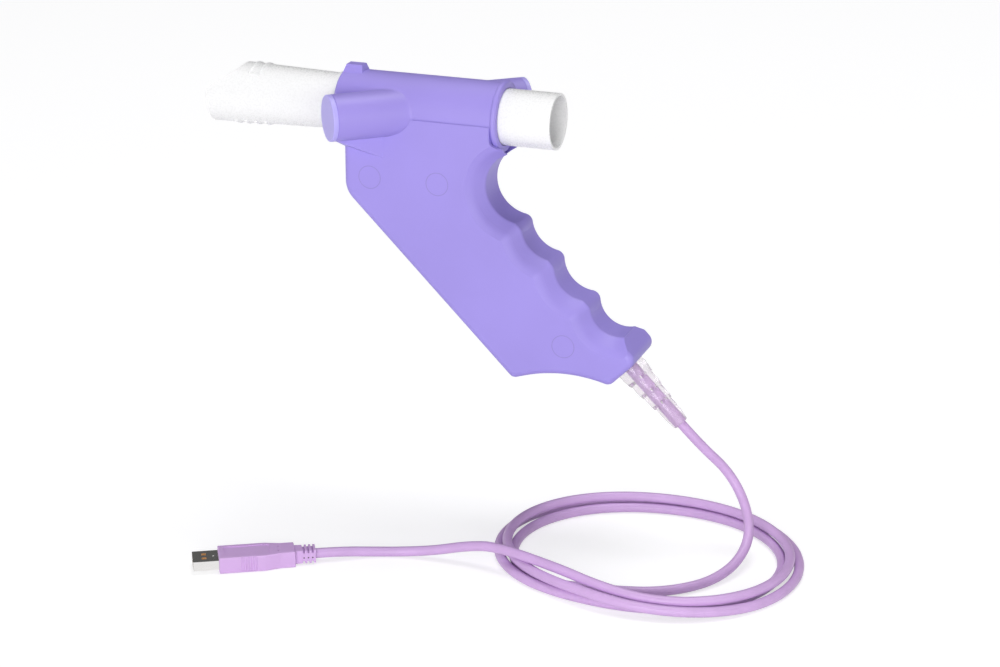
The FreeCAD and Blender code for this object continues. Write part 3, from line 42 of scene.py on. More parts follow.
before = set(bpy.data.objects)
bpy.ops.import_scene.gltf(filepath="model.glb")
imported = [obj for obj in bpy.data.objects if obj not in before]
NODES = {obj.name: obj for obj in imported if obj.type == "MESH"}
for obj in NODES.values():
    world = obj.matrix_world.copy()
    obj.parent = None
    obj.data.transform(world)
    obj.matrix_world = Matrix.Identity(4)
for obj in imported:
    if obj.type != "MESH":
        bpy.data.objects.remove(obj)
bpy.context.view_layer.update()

MM = 0.001
IMAGE_WIDTH = 1000
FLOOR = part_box("cord_coil")[0][2]
CABLE_EXIT = Vector((79.42, 0.0, -53.31)) * MM
FLOOR_GAP = 0.02 * MM
FLOOR_REACH = 6.0
GRIP_HALF = 16.2 * MM
CABLE_TILT = math.radians(135)
OUT_OF_GRIP = Vector((math.sin(CABLE_TILT), 0, math.cos(CABLE_TILT)))
PLUG_TURN = Quaternion((0, 0, 1), math.radians(29.5))
PLUG_FRONT = Vector((-110.0, -101.5, 3.9)) * MM + Vector((0, 0, FLOOR))


# Shader maths

class Field:
    """Value that a shader computes, so that sums and products read as they are written."""

    def __init__(self, tree, socket):
        self.tree = tree
        self.socket = socket

    def math(self, operation, *others):
        node = self.tree.nodes.new("ShaderNodeMath")
        node.operation = operation
        for place, value in enumerate((self,) + others):
            feed(self.tree, node.inputs[place], value)
        return Field(self.tree, node.outputs[0])

    def __add__(self, other):
        return self.math("ADD", other)

    def __sub__(self, other):
        return self.math("SUBTRACT", other)

    def __rsub__(self, other):
        return Field(self.tree, other).math("SUBTRACT", self)

    def __mul__(self, other):
        return self.math("MULTIPLY", other)

    def sine(self):
        return self.math("SINE")

    def limited(self, low, high):
        return self.math("MAXIMUM", low).math("MINIMUM", high)

    def ramp(self, start, end, low=0.0, high=1.0):
        """Smooth step from low to high while this value goes from start to end."""
        node = self.tree.nodes.new("ShaderNodeMapRange")
        node.interpolation_type = "SMOOTHSTEP"
        for name, value in (("Value", self), ("From Min", start), ("From Max", end),
                            ("To Min", low), ("To Max", high)):
            feed(self.tree, node.inputs[name], value)
        return Field(self.tree, node.outputs["Result"])


def feed(tree, socket, value):
    """Link a field to a socket, or set a plain value on it."""
    if isinstance(value, Field) and isinstance(value.socket, bpy.types.NodeSocket):
        tree.links.new(value.socket, socket)
    else:
        socket.default_value = value.socket if isinstance(value, Field) else value


class Finish:
    """Material under construction, with its principled shader and pattern fields."""

    def __init__(self, name, colour, roughness, **values):
        self.material = bpy.data.materials.new(name)
        self.material.use_nodes = True
        self.tree = self.material.node_tree
        self.shader = self.tree.nodes["Principled BSDF"]
        self.material.diffuse_color = tuple(colour[:3]) + (1.0,)
        self.put("Base Color", tuple(colour[:3]) + (1.0,))
        self.put("Roughness", roughness)
        for key, value in values.items():
            self.put(key.replace("_", " ").title().replace("Ior", "IOR"), value)

    def put(self, name, value):
        feed(self.tree, self.shader.inputs[name], value)

    def place(self):
        """Object coordinates in metres."""
        node = self.tree.nodes.new("ShaderNodeTexCoord")
        return node.outputs["Object"]

    def noise(self, size, detail=2.0, stretch=(1.0, 1.0, 1.0)):
        """Noise from 0 to 1, with features of a size in millimetres."""
        mapping = self.tree.nodes.new("ShaderNodeMapping")
        mapping.inputs["Scale"].default_value = stretch
        self.tree.links.new(self.place(), mapping.inputs["Vector"])
        node = self.tree.nodes.new("ShaderNodeTexNoise")
        node.inputs["Scale"].default_value = 1 / (size * MM)
        node.inputs["Detail"].default_value = detail
        self.tree.links.new(mapping.outputs["Vector"], node.inputs["Vector"])
        return Field(self.tree, node.outputs["Fac"])

    def axis(self, number):
        """Object coordinate along one axis, in metres."""
        node = self.tree.nodes.new("ShaderNodeSeparateXYZ")
        self.tree.links.new(self.place(), node.inputs[0])
        return Field(self.tree, node.outputs[number])

    def mix(self, share, first, second):
        """Colour between two colours."""
        node = self.tree.nodes.new("ShaderNodeMix")
        node.data_type = "RGBA"
        feed(self.tree, node.inputs[0], share)
        for socket, colour in ((node.inputs[6], first), (node.inputs[7], second)):
            if isinstance(colour, Field):
                feed(self.tree, socket, colour)
            else:
                socket.default_value = tuple(colour[:3]) + (1.0,)
        return Field(self.tree, node.outputs[2])

    def bump(self, height, distance, strength=1.0):
        """Relief of a height field whose full range is a distance in millimetres."""
        node = self.tree.nodes.new("ShaderNodeBump")
        node.inputs["Strength"].default_value = strength
        node.inputs["Distance"].default_value = distance * MM
        feed(self.tree, node.inputs["Height"], height)
        self.tree.links.new(node.outputs["Normal"], self.shader.inputs["Normal"])


def tinted(colour, factor):
    return tuple(min(1.0, channel * factor) for channel in colour[:3])


# Finishes

def moulded_plastic(name, colour, roughness, grain, relief):
    """Satin moulding with a fine spark-eroded grain and faint flow shading."""
    finish = Finish(name, colour, roughness, ior=1.5)
    flow = finish.noise(45.0, 3.0)
    fine = finish.noise(grain, 3.0)
    shade = flow.ramp(0.3, 0.7)
    finish.put("Base Color", finish.mix(shade, tinted(colour, 0.975), tinted(colour, 1.025)))
    finish.put("Roughness", fine.ramp(0.3, 0.7, roughness - 0.05, roughness + 0.06))
    finish.bump(fine, relief, 0.35)
    return finish.material


def tube_plastic(settings):
    """Smooth white disposable moulding, glossier than the handle."""
    finish = Finish("flow_tube_white", settings.tube_colour, 0.28, ior=1.5)
    flow = finish.noise(30.0, 2.0, (0.4, 1.0, 1.0))
    fine = finish.noise(0.8, 2.0)
    colour = settings.tube_colour
    finish.put("Base Color", finish.mix(flow, tinted(colour, 0.985), colour))
    finish.put("Roughness", fine.ramp(0.3, 0.7, 0.24, 0.34))
    finish.bump(flow, 0.05, 0.3)
    return finish.material


def mesh_weave(settings):
    """Fine woven mesh over the sound windows."""
    finish = Finish("window_weave", settings.tube_colour, 0.6)
    pitch = 0.5 * MM
    across = (finish.axis(1) * (2 * math.pi / pitch)).sine()
    up = (finish.axis(2) * (2 * math.pi / pitch)).sine()
    threads = (across * up).ramp(-0.4, 0.6)
    colour = settings.tube_colour
    finish.put("Base Color", finish.mix(threads, tinted(colour, 0.45), colour))
    finish.bump(threads, 0.1, 0.6)
    return finish.material


def soft_vinyl(name, colour, roughness):
    """Cable jacket: satin vinyl with a faint ripple from extrusion and a little dust."""
    finish = Finish(name, colour, roughness, ior=1.5)
    ripple = finish.noise(9.0, 3.0)
    fine = finish.noise(0.7, 2.0)
    shade = ripple.ramp(0.3, 0.7)
    finish.put("Base Color", finish.mix(shade, tinted(colour, 0.965), tinted(colour, 1.02)))
    finish.put("Roughness", fine.ramp(0.3, 0.7, roughness - 0.05, roughness + 0.07))
    finish.bump(ripple + fine * 0.2, 0.06, 0.4)
    return finish.material


def milky_elastomer(settings):
    """Half-clear soft moulding of the strain relief, through which the cable shows."""
    colour = settings.relief_colour
    finish = Finish("strain_relief_milky", colour, 0.15, ior=1.43, transmission_weight=0.85)
    cloud = finish.noise(6.0, 3.0)
    finish.put("Base Color", finish.mix(cloud.ramp(0.3, 0.7), tinted(colour, 0.97), colour))
    finish.put("Roughness", cloud.ramp(0.3, 0.7, 0.1, 0.2))
    finish.bump(cloud, 0.05, 0.3)
    return finish.material


def plated_metal(name, colour, roughness, direction):
    """Plated sheet metal with drawing lines along one direction."""
    finish = Finish(name, colour, roughness, metallic=1.0)
    lines = finish.noise(0.35, 2.0, direction)
    haze = finish.noise(4.0, 2.0)
    finish.put("Base Color", finish.mix(haze, tinted(colour, 0.93), colour))
    finish.put("Roughness", lines.ramp(0.25, 0.75, roughness * 0.7, roughness * 1.35))
    finish.bump(lines, 0.02, 0.25)
    return finish.material


def circuit_laminate():
    """Green solder mask over faint copper tracks."""
    mask = (0.012, 0.13, 0.045)
    finish = Finish("board_solder_mask", mask, 0.3, ior=1.5)
    pitch = 1.6 * MM
    tracks = (finish.axis(0) * (2 * math.pi / pitch)).sine().ramp(0.55, 0.75)
    patches = finish.noise(7.0, 1.0).ramp(0.5, 0.56)
    finish.put("Base Color", finish.mix(tracks * patches, mask, (0.03, 0.22, 0.07)))
    finish.bump(tracks * patches, 0.04, 0.5)
    return finish.material


def dark_resin(name, colour, roughness):
    """Moulded resin or rubber with a fine matt grain."""
    finish = Finish(name, colour, roughness)
    fine = finish.noise(0.25, 2.0)
    finish.put("Base Color", finish.mix(fine, tinted(colour, 0.85), tinted(colour, 1.15)))
    finish.put("Roughness", fine.ramp(0.3, 0.7, roughness - 0.08, min(1.0, roughness + 0.08)))
    finish.bump(fine, 0.03, 0.4)
    return finish.material


def dress(names, material):
    """Give CAD nodes a material in place of their own."""
    for name in names:
        mesh = NODES[name].data
        mesh.materials.clear()
        mesh.materials.append(material)


# Settings that a user would change

def colour_setting(name, default, description):
    return FloatVectorProperty(name=name, subtype="COLOR", size=3, min=0.0, max=1.0,
                               default=default, description=description)


class SpirometerFinishes(bpy.types.PropertyGroup):
    """Colours of the mouldings."""

    shell_colour: colour_setting("Shells", (0.338, 0.272, 0.735),
                                 "Lavender of the barrel and the grip")
    # The caps are the shell's plastic painted lighter: painted light for the brighter light and
    # reflection on their faces.
    cap_colour_painted_light: colour_setting("Caps", (0.46, 0.405, 0.88),
                               "Slightly lighter caps over the transducers")
    tube_colour: colour_setting("Flow tube", (0.90, 0.90, 0.905), "White of the disposable tube")
    cable_colour: colour_setting("Cable", (0.605, 0.392, 0.71),
                                 "Pink violet of the cable and its plug")
    relief_colour: colour_setting("Strain relief", (0.95, 0.91, 0.94),
                                  "Milky elastomer of the strain relief")


class SpirometerCable(bpy.types.PropertyGroup):
    """Sizes of the loose cable and its strain relief."""

    radius: FloatProperty(name="Radius", unit="LENGTH", default=2.3 * MM, min=0.5 * MM,
                          description="Radius of the cable's jacket")
    boot_bulge: FloatProperty(name="Bulge", unit="LENGTH", default=0.3 * MM, min=0.0,
                              description="How far the steps of the strain relief bulge")
    turn_points: IntProperty(name="Points per turn", default=24, min=12,
                             description="Control points in each turn of the coil")


class SpirometerMarks(bpy.types.PropertyGroup):
    """Moulding marks on the grip and the plug."""

    mark_radius: FloatProperty(name="Mark radius", unit="LENGTH", default=5.35 * MM, min=MM,
                               description="Radius of the witness rings over the screw pillars")
    mark_width: FloatProperty(name="Mark line", unit="LENGTH", default=0.25 * MM, min=0.01 * MM,
                              description="Radius of a witness ring's section, sunk in the wall")
    mark_squash: FloatProperty(name="Mark squash", default=0.3, min=0.01, max=1.0,
                               description="Height of a witness ring's section by its width")
    mark_height: FloatProperty(name="Mark height", unit="LENGTH", default=0.03 * MM, min=0.0,
                               description="How far a witness ring stands out of the flat side")
    hole_radius: FloatProperty(name="Neck hole radius", unit="LENGTH", default=0.36 * MM,
                               min=0.05 * MM,
                               description="Radius of the small holes in the plug's neck")


class SpirometerStage(bpy.types.PropertyGroup):
    """Floor, lamps and camera."""

    focal_pixels: FloatProperty(name="Focal length in pixels", default=2600.0, min=100.0,
                                description="Focal length for an image 1000 pixels wide")
    azimuth: FloatProperty(name="Azimuth", subtype="ANGLE", default=math.radians(20.17),
                           description="Turn of the camera from straight ahead of the near side")
    elevation: FloatProperty(name="Elevation", subtype="ANGLE", default=math.radians(20.09),
                             description="Angle at which the camera looks down")
    front_power: FloatProperty(name="Front lamp", unit="POWER", default=42.5, min=0.0,
                               description="Power of the low soft lamp in front")
    side_power: FloatProperty(name="Side lamp", unit="POWER", default=4.5, min=0.0,
                              description="Power of the low soft lamp on the right")
    top_power: FloatProperty(name="Top lamp", unit="POWER", default=33.5, min=0.0,
                             description="Power of the soft lamp above, which casts the shadow")
    front_sky: FloatProperty(name="Light from the front", default=0.33, min=0.0,
                             description="Level of the light that comes from low in front")
    left_sky: FloatProperty(name="Light from the left", default=1.0, min=0.0,
                            description="Level of the light that comes from low on the left")
    right_sky: FloatProperty(name="Light from the right", default=0.3, min=0.0,
                             description="Level of the light that comes from low on the right")
    back_sky: FloatProperty(name="Light from behind", default=0.1, min=0.0,
                            description="Level of the light that comes from low behind")
    high_sky: FloatProperty(name="Light from above", default=0.39, min=0.0,
                            description="Level of the light that comes from straight above")
    floor_glow: FloatProperty(name="Floor glow", default=0.63, min=0.0,
                              description="Level of the ground's own white in the picture")


# Meshes

def mesh_object(name, points, faces):
    """Object of a mesh given as points and faces."""
    mesh = bpy.data.meshes.new(name)
    mesh.from_pydata(points, [], faces)
    made = bpy.data.objects.new(name, mesh)
    bpy.context.collection.objects.link(made)
    return made


def lathe(name, corners, place, sides=96):
    """Closed body turned about Z of a place, from corners that start and end on the axis."""
    points = [place @ Vector((0, 0, corners[0][0] * MM))]
    inner = corners[1:-1]
    for reach, radius in inner:
        for side in range(sides):
            angle = 2 * math.pi * side / sides
            spot = Vector((radius * math.cos(angle), radius * math.sin(angle), reach)) * MM
            points.append(place @ spot)
    points.append(place @ Vector((0, 0, corners[-1][0] * MM)))
    faces = []
    tip = len(points) - 1
    base = 1 + (len(inner) - 1) * sides
    for side in range(sides):
        after = (side + 1) % sides
        faces.append((0, 1 + after, 1 + side))
        faces.append((base + side, base + after, tip))
        for row in range(len(inner) - 1):
            low = 1 + row * sides
            faces.append((low + side, low + after, low + sides + after, low + sides + side))
    return mesh_object(name, points, faces)


def baked(name, maker):
    """Plain mesh object of an object with its modifiers, which is then removed."""
    depsgraph = bpy.context.evaluated_depsgraph_get()
    mesh = bpy.data.meshes.new_from_object(maker.evaluated_get(depsgraph))
    bpy.data.objects.remove(maker)
    result = bpy.data.objects.new(name, mesh)
    bpy.context.collection.objects.link(result)
    return result


def repeat_tree(name, inputs, turn, material, shape):
    """Geometry tree that sets a shape on each point, turned, realised and given a material."""
    tree = bpy.data.node_groups.new(name, "GeometryNodeTree")
    tree.interface.new_socket("Geometry", in_out="INPUT", socket_type="NodeSocketGeometry")
    tree.interface.new_socket("Geometry", in_out="OUTPUT", socket_type="NodeSocketGeometry")
    for label, value in inputs:
        socket = tree.interface.new_socket(label, in_out="INPUT", socket_type="NodeSocketFloat")
        socket.default_value = value
    entry = tree.nodes.new("NodeGroupInput")
    leave = tree.nodes.new("NodeGroupOutput")
    spread = tree.nodes.new("GeometryNodeInstanceOnPoints")
    spread.inputs["Rotation"].default_value = turn
    solid = tree.nodes.new("GeometryNodeRealizeInstances")
    paint = tree.nodes.new("GeometryNodeSetMaterial")
    paint.inputs["Material"].default_value = material
    for start, end in (
        (entry.outputs[0], spread.inputs["Points"]),
        (shape(tree, entry), spread.inputs["Instance"]),
        (spread.outputs[0], solid.inputs[0]),
        (solid.outputs[0], paint.inputs["Geometry"]),
        (paint.outputs[0], leave.inputs[0]),
    ):
        tree.links.new(start, end)
    return tree


def from_points(name, points, tree):
    """Plain mesh object that a geometry tree makes from points."""
    maker = mesh_object(f"{name}_points", points, [])
    modifier = maker.modifiers.new("tree", "NODES")
    modifier.node_group = tree
    return baked(name, maker)


# Cable

# Listed points of the cable's centre line, in millimetres.
DROP_POINTS = (
    (79.42, 0.0, -53.31), (89.32, 0.0, -63.21), (101.2, 6.4, -76.6), (111.0, 2.4, -90.2),
    (116.4, -8.8, -100.6), (115.2, -24.3, -107.0), (109.1, -39.9, -109.8), (99.2, -53.0, -110.2),
    (85.7, -62.4, -110.2), (70.1, -66.4, -110.2), (57.0, -68.4, -110.2), (43.9, -69.3, -110.2),
    (31.5, -67.3, -110.2),
)
LEAD_POINTS = (
    (10.5, -58.9, -101.2), (-4.0, -58.0, -103.5), (-20.0, -58.6, -108.1), (-35.0, -60.8, -110.2),
    (-49.0, -65.8, -110.2), (-60.82, -73.68, -108.6), (-71.27, -79.59, -108.6),
)
COIL_MIDDLE = Vector((73.0, -25.0, 0.0))
COIL_START = -110.0
COIL_SPAN = (40.0, 1097.0)
# One row for each half turn of the loose coil: mean radius, shift along X and Y, stretch
# along X and on the diagonal, all in millimetres.
HALF_TURNS = (
    (61.6, -0.8, 0.2, 2.5, -1.6),
    (58.4, -0.7, -3.5, 2.4, 2.4),
    (63.0, -3.9, 1.7, 6.3, -1.6),
    (65.9, 0.0, -0.5, 4.0, 0.9),
    (64.3, 0.5, -0.7, 6.1, -3.6),
    (61.0, 0.1, -3.2, 3.0, 0.8),
    (61.7, 1.0, 1.3, 7.0, -2.4),
)
# Angle run through and height over the floor: two turns lie flat, the third lies on them.
COIL_HEIGHTS = ((0.0, 2.3), (640.0, 2.3), (715.0, 6.9), (1040.0, 6.9), (1095.0, 11.6))


def between(rows, spot):
    """Row of numbers at a spot, straight between the rows on both sides of it."""
    low = min(int(spot), len(rows) - 2)
    share = spot - low
    return [a + (b - a) * share for a, b in zip(rows[low], rows[low + 1])]


def coil_height(angle):
    for (start, low), (end, high) in zip(COIL_HEIGHTS, COIL_HEIGHTS[1:]):
        if angle <= end:
            return low + (high - low) * (angle - start) / (end - start)
    return COIL_HEIGHTS[-1][1]


def coil_points(points_per_turn):
    """Control points of three loose turns, clockwise seen from above."""
    points = []
    angle = COIL_SPAN[0]
    while angle <= COIL_SPAN[1]:
        turn = math.radians(COIL_START - angle)
        mean, east, north, long_way, diagonal = between(HALF_TURNS, angle / 180)
        radius = (mean + east * math.cos(turn) + north * math.sin(turn)
                  + long_way * math.cos(2 * turn) + diagonal * math.sin(2 * turn))
        point = COIL_MIDDLE + Vector((math.cos(turn), math.sin(turn), 0)) * radius
        point.z = FLOOR / MM + coil_height(angle)
        points.append(point)
        angle += 360 / points_per_turn
    return points


def cable_curve(name, points, radius):
    """Round cable along one smooth spline through its listed and coiled control points."""
    curve = bpy.data.curves.new(name, "CURVE")
    curve.dimensions = "3D"
    curve.resolution_u = 6
    spline = curve.splines.new("NURBS")
    spline.points.add(len(points) - 1)
    for place, point in zip(spline.points, points):
        place.co = (*(Vector(point) * MM), 1.0)
    spline.order_u = 3
    spline.use_endpoint_u = True
    curve.bevel_depth = radius
    curve.bevel_resolution = 5
    curve.use_fill_caps = True
    cable = bpy.data.objects.new(name, curve)
    bpy.context.collection.objects.link(cable)
    return cable


def curve_length(cable):
    """Length of a cable's centre line."""
    bare = cable.data.copy()
    bare.bevel_depth = 0
    probe = bpy.data.objects.new("length_probe", bare)
    bpy.context.collection.objects.link(probe)
    depsgraph = bpy.context.evaluated_depsgraph_get()
    line = bpy.data.meshes.new_from_object(probe.evaluated_get(depsgraph))
    length = sum((line.vertices[edge.vertices[0]].co - line.vertices[edge.vertices[1]].co).length
                 for edge in line.edges)
    bpy.data.objects.remove(probe)
    bpy.data.meshes.remove(line)
    return length


class SPIROMETER_OT_cable(bpy.types.Operator):
    """Lay the cable from the strain relief through its loose coil to the plug"""

    bl_idname = "spirometer.cable"
    bl_label = "Cable"

    def execute(self, context):
        settings = context.scene.spirometer_cable
        finishes = context.scene.spirometer_finishes
        points = [*DROP_POINTS, *coil_points(settings.turn_points), *LEAD_POINTS]
        cable = cable_curve("cable", points, settings.radius)
        cable.data.materials.append(soft_vinyl("cable_vinyl", finishes.cable_colour, 0.42))
        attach(cable, "handle")
        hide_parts("cord_drop", "cord_coil", "cord_lead")
        curve_length(cable)
        return {"FINISHED"}


# Finishes of the CAD nodes

# Stretch of the drawing lines in plated metal that was drawn in no one direction.
EVEN = (1.0, 1.0, 1.0)


class SPIROMETER_OT_housing(bpy.types.Operator):
    """Finish the barrel, the grip's half shells and the caps"""

    bl_idname = "spirometer.housing"
    bl_label = "Barrel, grip and caps"

    def execute(self, context):
        finishes = context.scene.spirometer_finishes
        shell = moulded_plastic("lavender_shell", finishes.shell_colour, 0.48, 0.55, 0.05)
        dress(("sensor_barrel", "grip_shell_near", "grip_shell_far"), shell)
        # Lighter copy of the shell plastic: painted light on the caps.
        cap = moulded_plastic("lavender_cap", finishes.cap_colour_painted_light, 0.45, 0.6, 0.05)
        dress(("transducer_cap_front", "transducer_cap_rear"), cap)
        return {"FINISHED"}


class SPIROMETER_OT_flow_tube(bpy.types.Operator):
    """Finish the removable flow tube and the mesh in its windows"""

    bl_idname = "spirometer.flow_tube"
    bl_label = "Flow tube"

    def execute(self, context):
        finishes = context.scene.spirometer_finishes
        dress(("flow_tube",), tube_plastic(finishes))
        dress(("window_mesh_front", "window_mesh_rear"), mesh_weave(finishes))
        return {"FINISHED"}


class SPIROMETER_OT_inner_parts(bpy.types.Operator):
    """Finish the transducers, leads, board and screws inside the handle"""

    bl_idname = "spirometer.inner_parts"
    bl_label = "Parts inside the handle"

    def execute(self, context):
        can = plated_metal("transducer_can", (0.62, 0.63, 0.65), 0.35, (1.0, 1.0, 4.0))
        rubber = dark_resin("isolation_rubber", (0.02, 0.02, 0.022), 0.75)
        lead = soft_vinyl("lead_vinyl", (0.45, 0.05, 0.04), 0.4)
        zinc = plated_metal("screw_zinc", (0.55, 0.55, 0.57), 0.32, EVEN)
        resin = dark_resin("chip_resin", (0.015, 0.015, 0.017), 0.5)
        crystal = plated_metal("crystal_can", (0.6, 0.6, 0.6), 0.25, EVEN)
        nylon = dark_resin("socket_nylon", (0.72, 0.68, 0.55), 0.45)
        dress(("transducer_front", "transducer_rear"), can)
        dress(("isolation_ring_front", "isolation_ring_rear"), rubber)
        dress(("transducer_lead_front", "transducer_lead_rear", "cable_wires"), lead)
        dress(("grip_screws", "board_screws"), zinc)
        dress(("main_board",), circuit_laminate())
        dress(("processor_chip", "signal_chip"), resin)
        dress(("timing_crystal",), crystal)
        dress(("cable_socket", "lead_sockets"), nylon)
        return {"FINISHED"}


class SPIROMETER_OT_cable_ends(bpy.types.Operator):
    """Finish the cable inside the strain relief and the plug"""

    bl_idname = "spirometer.cable_ends"
    bl_label = "Cable's ends"

    def execute(self, context):
        colour = context.scene.spirometer_finishes.cable_colour
        nickel = plated_metal("plug_nickel", (0.78, 0.77, 0.75), 0.16, (6.0, 1.0, 1.0))
        gold = plated_metal("contact_gold", (0.83, 0.60, 0.25), 0.2, EVEN)
        dress(("cord_tail",), soft_vinyl("tail_vinyl", colour, 0.42))
        dress(("plug_overmould",), moulded_plastic("plug_vinyl", colour, 0.42, 0.4, 0.03))
        dress(("plug_shell",), nickel)
        dress(("plug_insert",), dark_resin("insert_resin", (0.50, 0.22, 0.05), 0.4))
        dress(("plug_contacts",), gold)
        return {"FINISHED"}


# Strain relief

# Millimetres, measured from the grip's end face.
BOOT_LENGTH = 35.5
BOOT_RADIUS = 7.1
BOOT_TIP_RADIUS = 3.8
BOOT_STEP = 0.45
BOOT_FLANGE = 8.4
BOOT_THROAT = 5.5
BOOT_FLANGE_START = -7.2
BOOT_FLANGE_END = -5.0
STEP_POINTS = 8
BOOT_RINGS = (8.0, 15.6, 23.2)
SLOT_LENGTH = 1.5
SLOT_WIDTH = 3.0
SLOT_DEPTH = 2.0
SLOT_WALL = 0.5
BOX_FACES = (
    (0, 1, 3, 2), (4, 6, 7, 5), (0, 4, 5, 1), (2, 3, 7, 6), (0, 2, 6, 4), (1, 5, 7, 3),
)


def boot_taper(reach):
    """Radius of the strain relief's plain cone, at a distance from the grip's end face."""
    return BOOT_RADIUS + (BOOT_TIP_RADIUS - BOOT_RADIUS) * reach / BOOT_LENGTH


def boot_profile(bulge):
    """Half section of the strain relief, as distance from the end face and radius."""
    corners = [
        (BOOT_FLANGE_START, 0.0), (BOOT_FLANGE_START, BOOT_FLANGE),
        (BOOT_FLANGE_END, BOOT_FLANGE), (BOOT_FLANGE_END, BOOT_THROAT),
        (0.0, BOOT_THROAT), (0.0, BOOT_RADIUS),
    ]
    stops = (0.0, *BOOT_RINGS, BOOT_LENGTH - BOOT_STEP)
    for number, (start, end) in enumerate(zip(stops, stops[1:])):
        first = boot_taper(start) - (BOOT_STEP if number else 0.0)
        last = boot_taper(end) if end in BOOT_RINGS else BOOT_TIP_RADIUS
        for part in range(STEP_POINTS + 1):
            share = part / STEP_POINTS
            radius = first + (last - first) * share + bulge * math.sin(math.pi * share)
            corners.append((start + (end - start) * share, radius))
    corners.extend([(BOOT_LENGTH, BOOT_TIP_RADIUS - BOOT_STEP), (BOOT_LENGTH, 0.0)])
    return corners


def boot_place():
    """Place on the grip's end face, its Z along the cable."""
    turn = Matrix.Rotation(CABLE_TILT, 4, "Y")
    return Matrix.Translation(CABLE_EXIT - OUT_OF_GRIP * (BOOT_LENGTH * MM)) @ turn


def slot_cutters(place):
    """Boxes of the slots, four round each ring."""
    points = []
    faces = []
    for ring in BOOT_RINGS:
        inner = boot_taper(ring) - SLOT_DEPTH
        for quarter in range(4):
            turn = Matrix.Rotation(math.radians(45 + 90 * quarter), 4, "Z")
            first = len(points)
            for x in (inner, inner + SLOT_DEPTH * 2):
                for y in (-SLOT_WIDTH / 2, SLOT_WIDTH / 2):
                    for z in (ring - SLOT_WALL - SLOT_LENGTH, ring - SLOT_WALL):
                        points.append(place @ turn @ (Vector((x, y, z)) * MM))
            faces.extend(tuple(first + corner for corner in face) for face in BOX_FACES)
    return mesh_object("slot_cutters", points, faces)


class SPIROMETER_OT_strain_relief(bpy.types.Operator):
    """Mould the half-clear strain relief on the cable, in bulged steps with slots"""

    bl_idname = "spirometer.strain_relief"
    bl_label = "Strain relief"

    def execute(self, context):
        settings = context.scene.spirometer_cable
        place = boot_place()
        blank = lathe("boot_blank", boot_profile(settings.boot_bulge / MM), place)
        cutters = slot_cutters(place)
        modifier = blank.modifiers.new("slots", "BOOLEAN")
        modifier.operation = "DIFFERENCE"
        modifier.object = cutters
        boot = baked("relief_boot", blank)
        bpy.data.objects.remove(cutters)
        boot.data.shade_smooth()
        boot.data.set_sharp_from_angle(angle=math.radians(35))
        boot.data.materials.clear()
        boot.data.materials.append(milky_elastomer(context.scene.spirometer_finishes))
        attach(boot, "handle")
        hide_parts("strain_relief_boot")
        return {"FINISHED"}


# Moulding marks

# Places on the grip as X and Z, and along the plug, in millimetres.
SCREW_PLACES = ((-67.8, 54.6), (-34.5, 54.6), (26.9, -16.6))
NECK_HOLES = (39.0, 41.0, 43.0)
NECK_SIDE = -3.8
HOLE_DROP = -0.3
HOLE_DEPTH = 0.04
DIMPLE_PLACE = (-2.3, 0.2, 2.25)
DIMPLE_RADIUS = 0.5
DIMPLE_HEIGHT = 0.14
DIMPLE_ROOT = -0.3
DIMPLE_POINTS = 7


def witness_ring(tree, entry):
    """Circle swept along a circle and squashed: a ring whose top stands out of the surface."""
    ring = tree.nodes.new("GeometryNodeCurvePrimitiveCircle")
    ring.inputs["Resolution"].default_value = 96
    line = tree.nodes.new("GeometryNodeCurvePrimitiveCircle")
    line.inputs["Resolution"].default_value = 64
    sweep = tree.nodes.new("GeometryNodeCurveToMesh")
    tree.links.new(entry.outputs["Radius"], ring.inputs["Radius"])
    tree.links.new(entry.outputs["Line"], line.inputs["Radius"])
    tree.links.new(ring.outputs[0], sweep.inputs["Curve"])
    tree.links.new(line.outputs[0], sweep.inputs["Profile Curve"])
    scale = tree.nodes.new("ShaderNodeCombineXYZ")
    scale.inputs["X"].default_value = 1.0
    scale.inputs["Y"].default_value = 1.0
    tree.links.new(entry.outputs["Squash"], scale.inputs["Z"])
    flat = tree.nodes.new("GeometryNodeTransform")
    tree.links.new(scale.outputs[0], flat.inputs["Scale"])
    tree.links.new(sweep.outputs[0], flat.inputs[0])
    return flat.outputs[0]


def neck_hole(tree, entry):
    """Thin dark disc of painted shade that reads as a small round hole."""
    disc = tree.nodes.new("GeometryNodeMeshCylinder")
    disc.inputs["Vertices"].default_value = 24
    disc.inputs["Depth"].default_value = HOLE_DEPTH * MM
    tree.links.new(entry.outputs["Radius"], disc.inputs["Radius"])
    return disc.outputs[0]


def plug_point(along, across, height):
    """Point in the plug, from the middle of its front face, in millimetres."""
    return PLUG_FRONT + PLUG_TURN @ (Vector((along, across, height)) * MM)


class SPIROMETER_OT_marks(bpy.types.Operator):
    """Raise the faint witness rings on the near flat side, over the screw pillars, in a darker tone
    of the shell that is painted shade
    """

    bl_idname = "spirometer.marks"
    bl_label = "Witness rings"

    def execute(self, context):
        settings = context.scene.spirometer_marks
        depth = settings.mark_width * settings.mark_squash - settings.mark_height - GRIP_HALF
        points = [(x * MM, depth, z * MM) for x, z in SCREW_PLACES]
        colour = context.scene.spirometer_finishes.shell_colour
        # The rings are a darker tone of the shell: painted shade that stands in for the shade in a
        # moulded groove.
        shade = dark_resin("witness_shade", tinted(colour, 0.84), 0.45)
        inputs = (
            ("Radius", settings.mark_radius), ("Line", settings.mark_width),
            ("Squash", settings.mark_squash),
        )
        tree = repeat_tree("witness_rings", inputs, (math.pi / 2, 0, 0), shade, witness_ring)
        rings = from_points("witness_rings", points, tree)
        rings.data.shade_smooth()
        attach(rings, "handle")
        return {"FINISHED"}


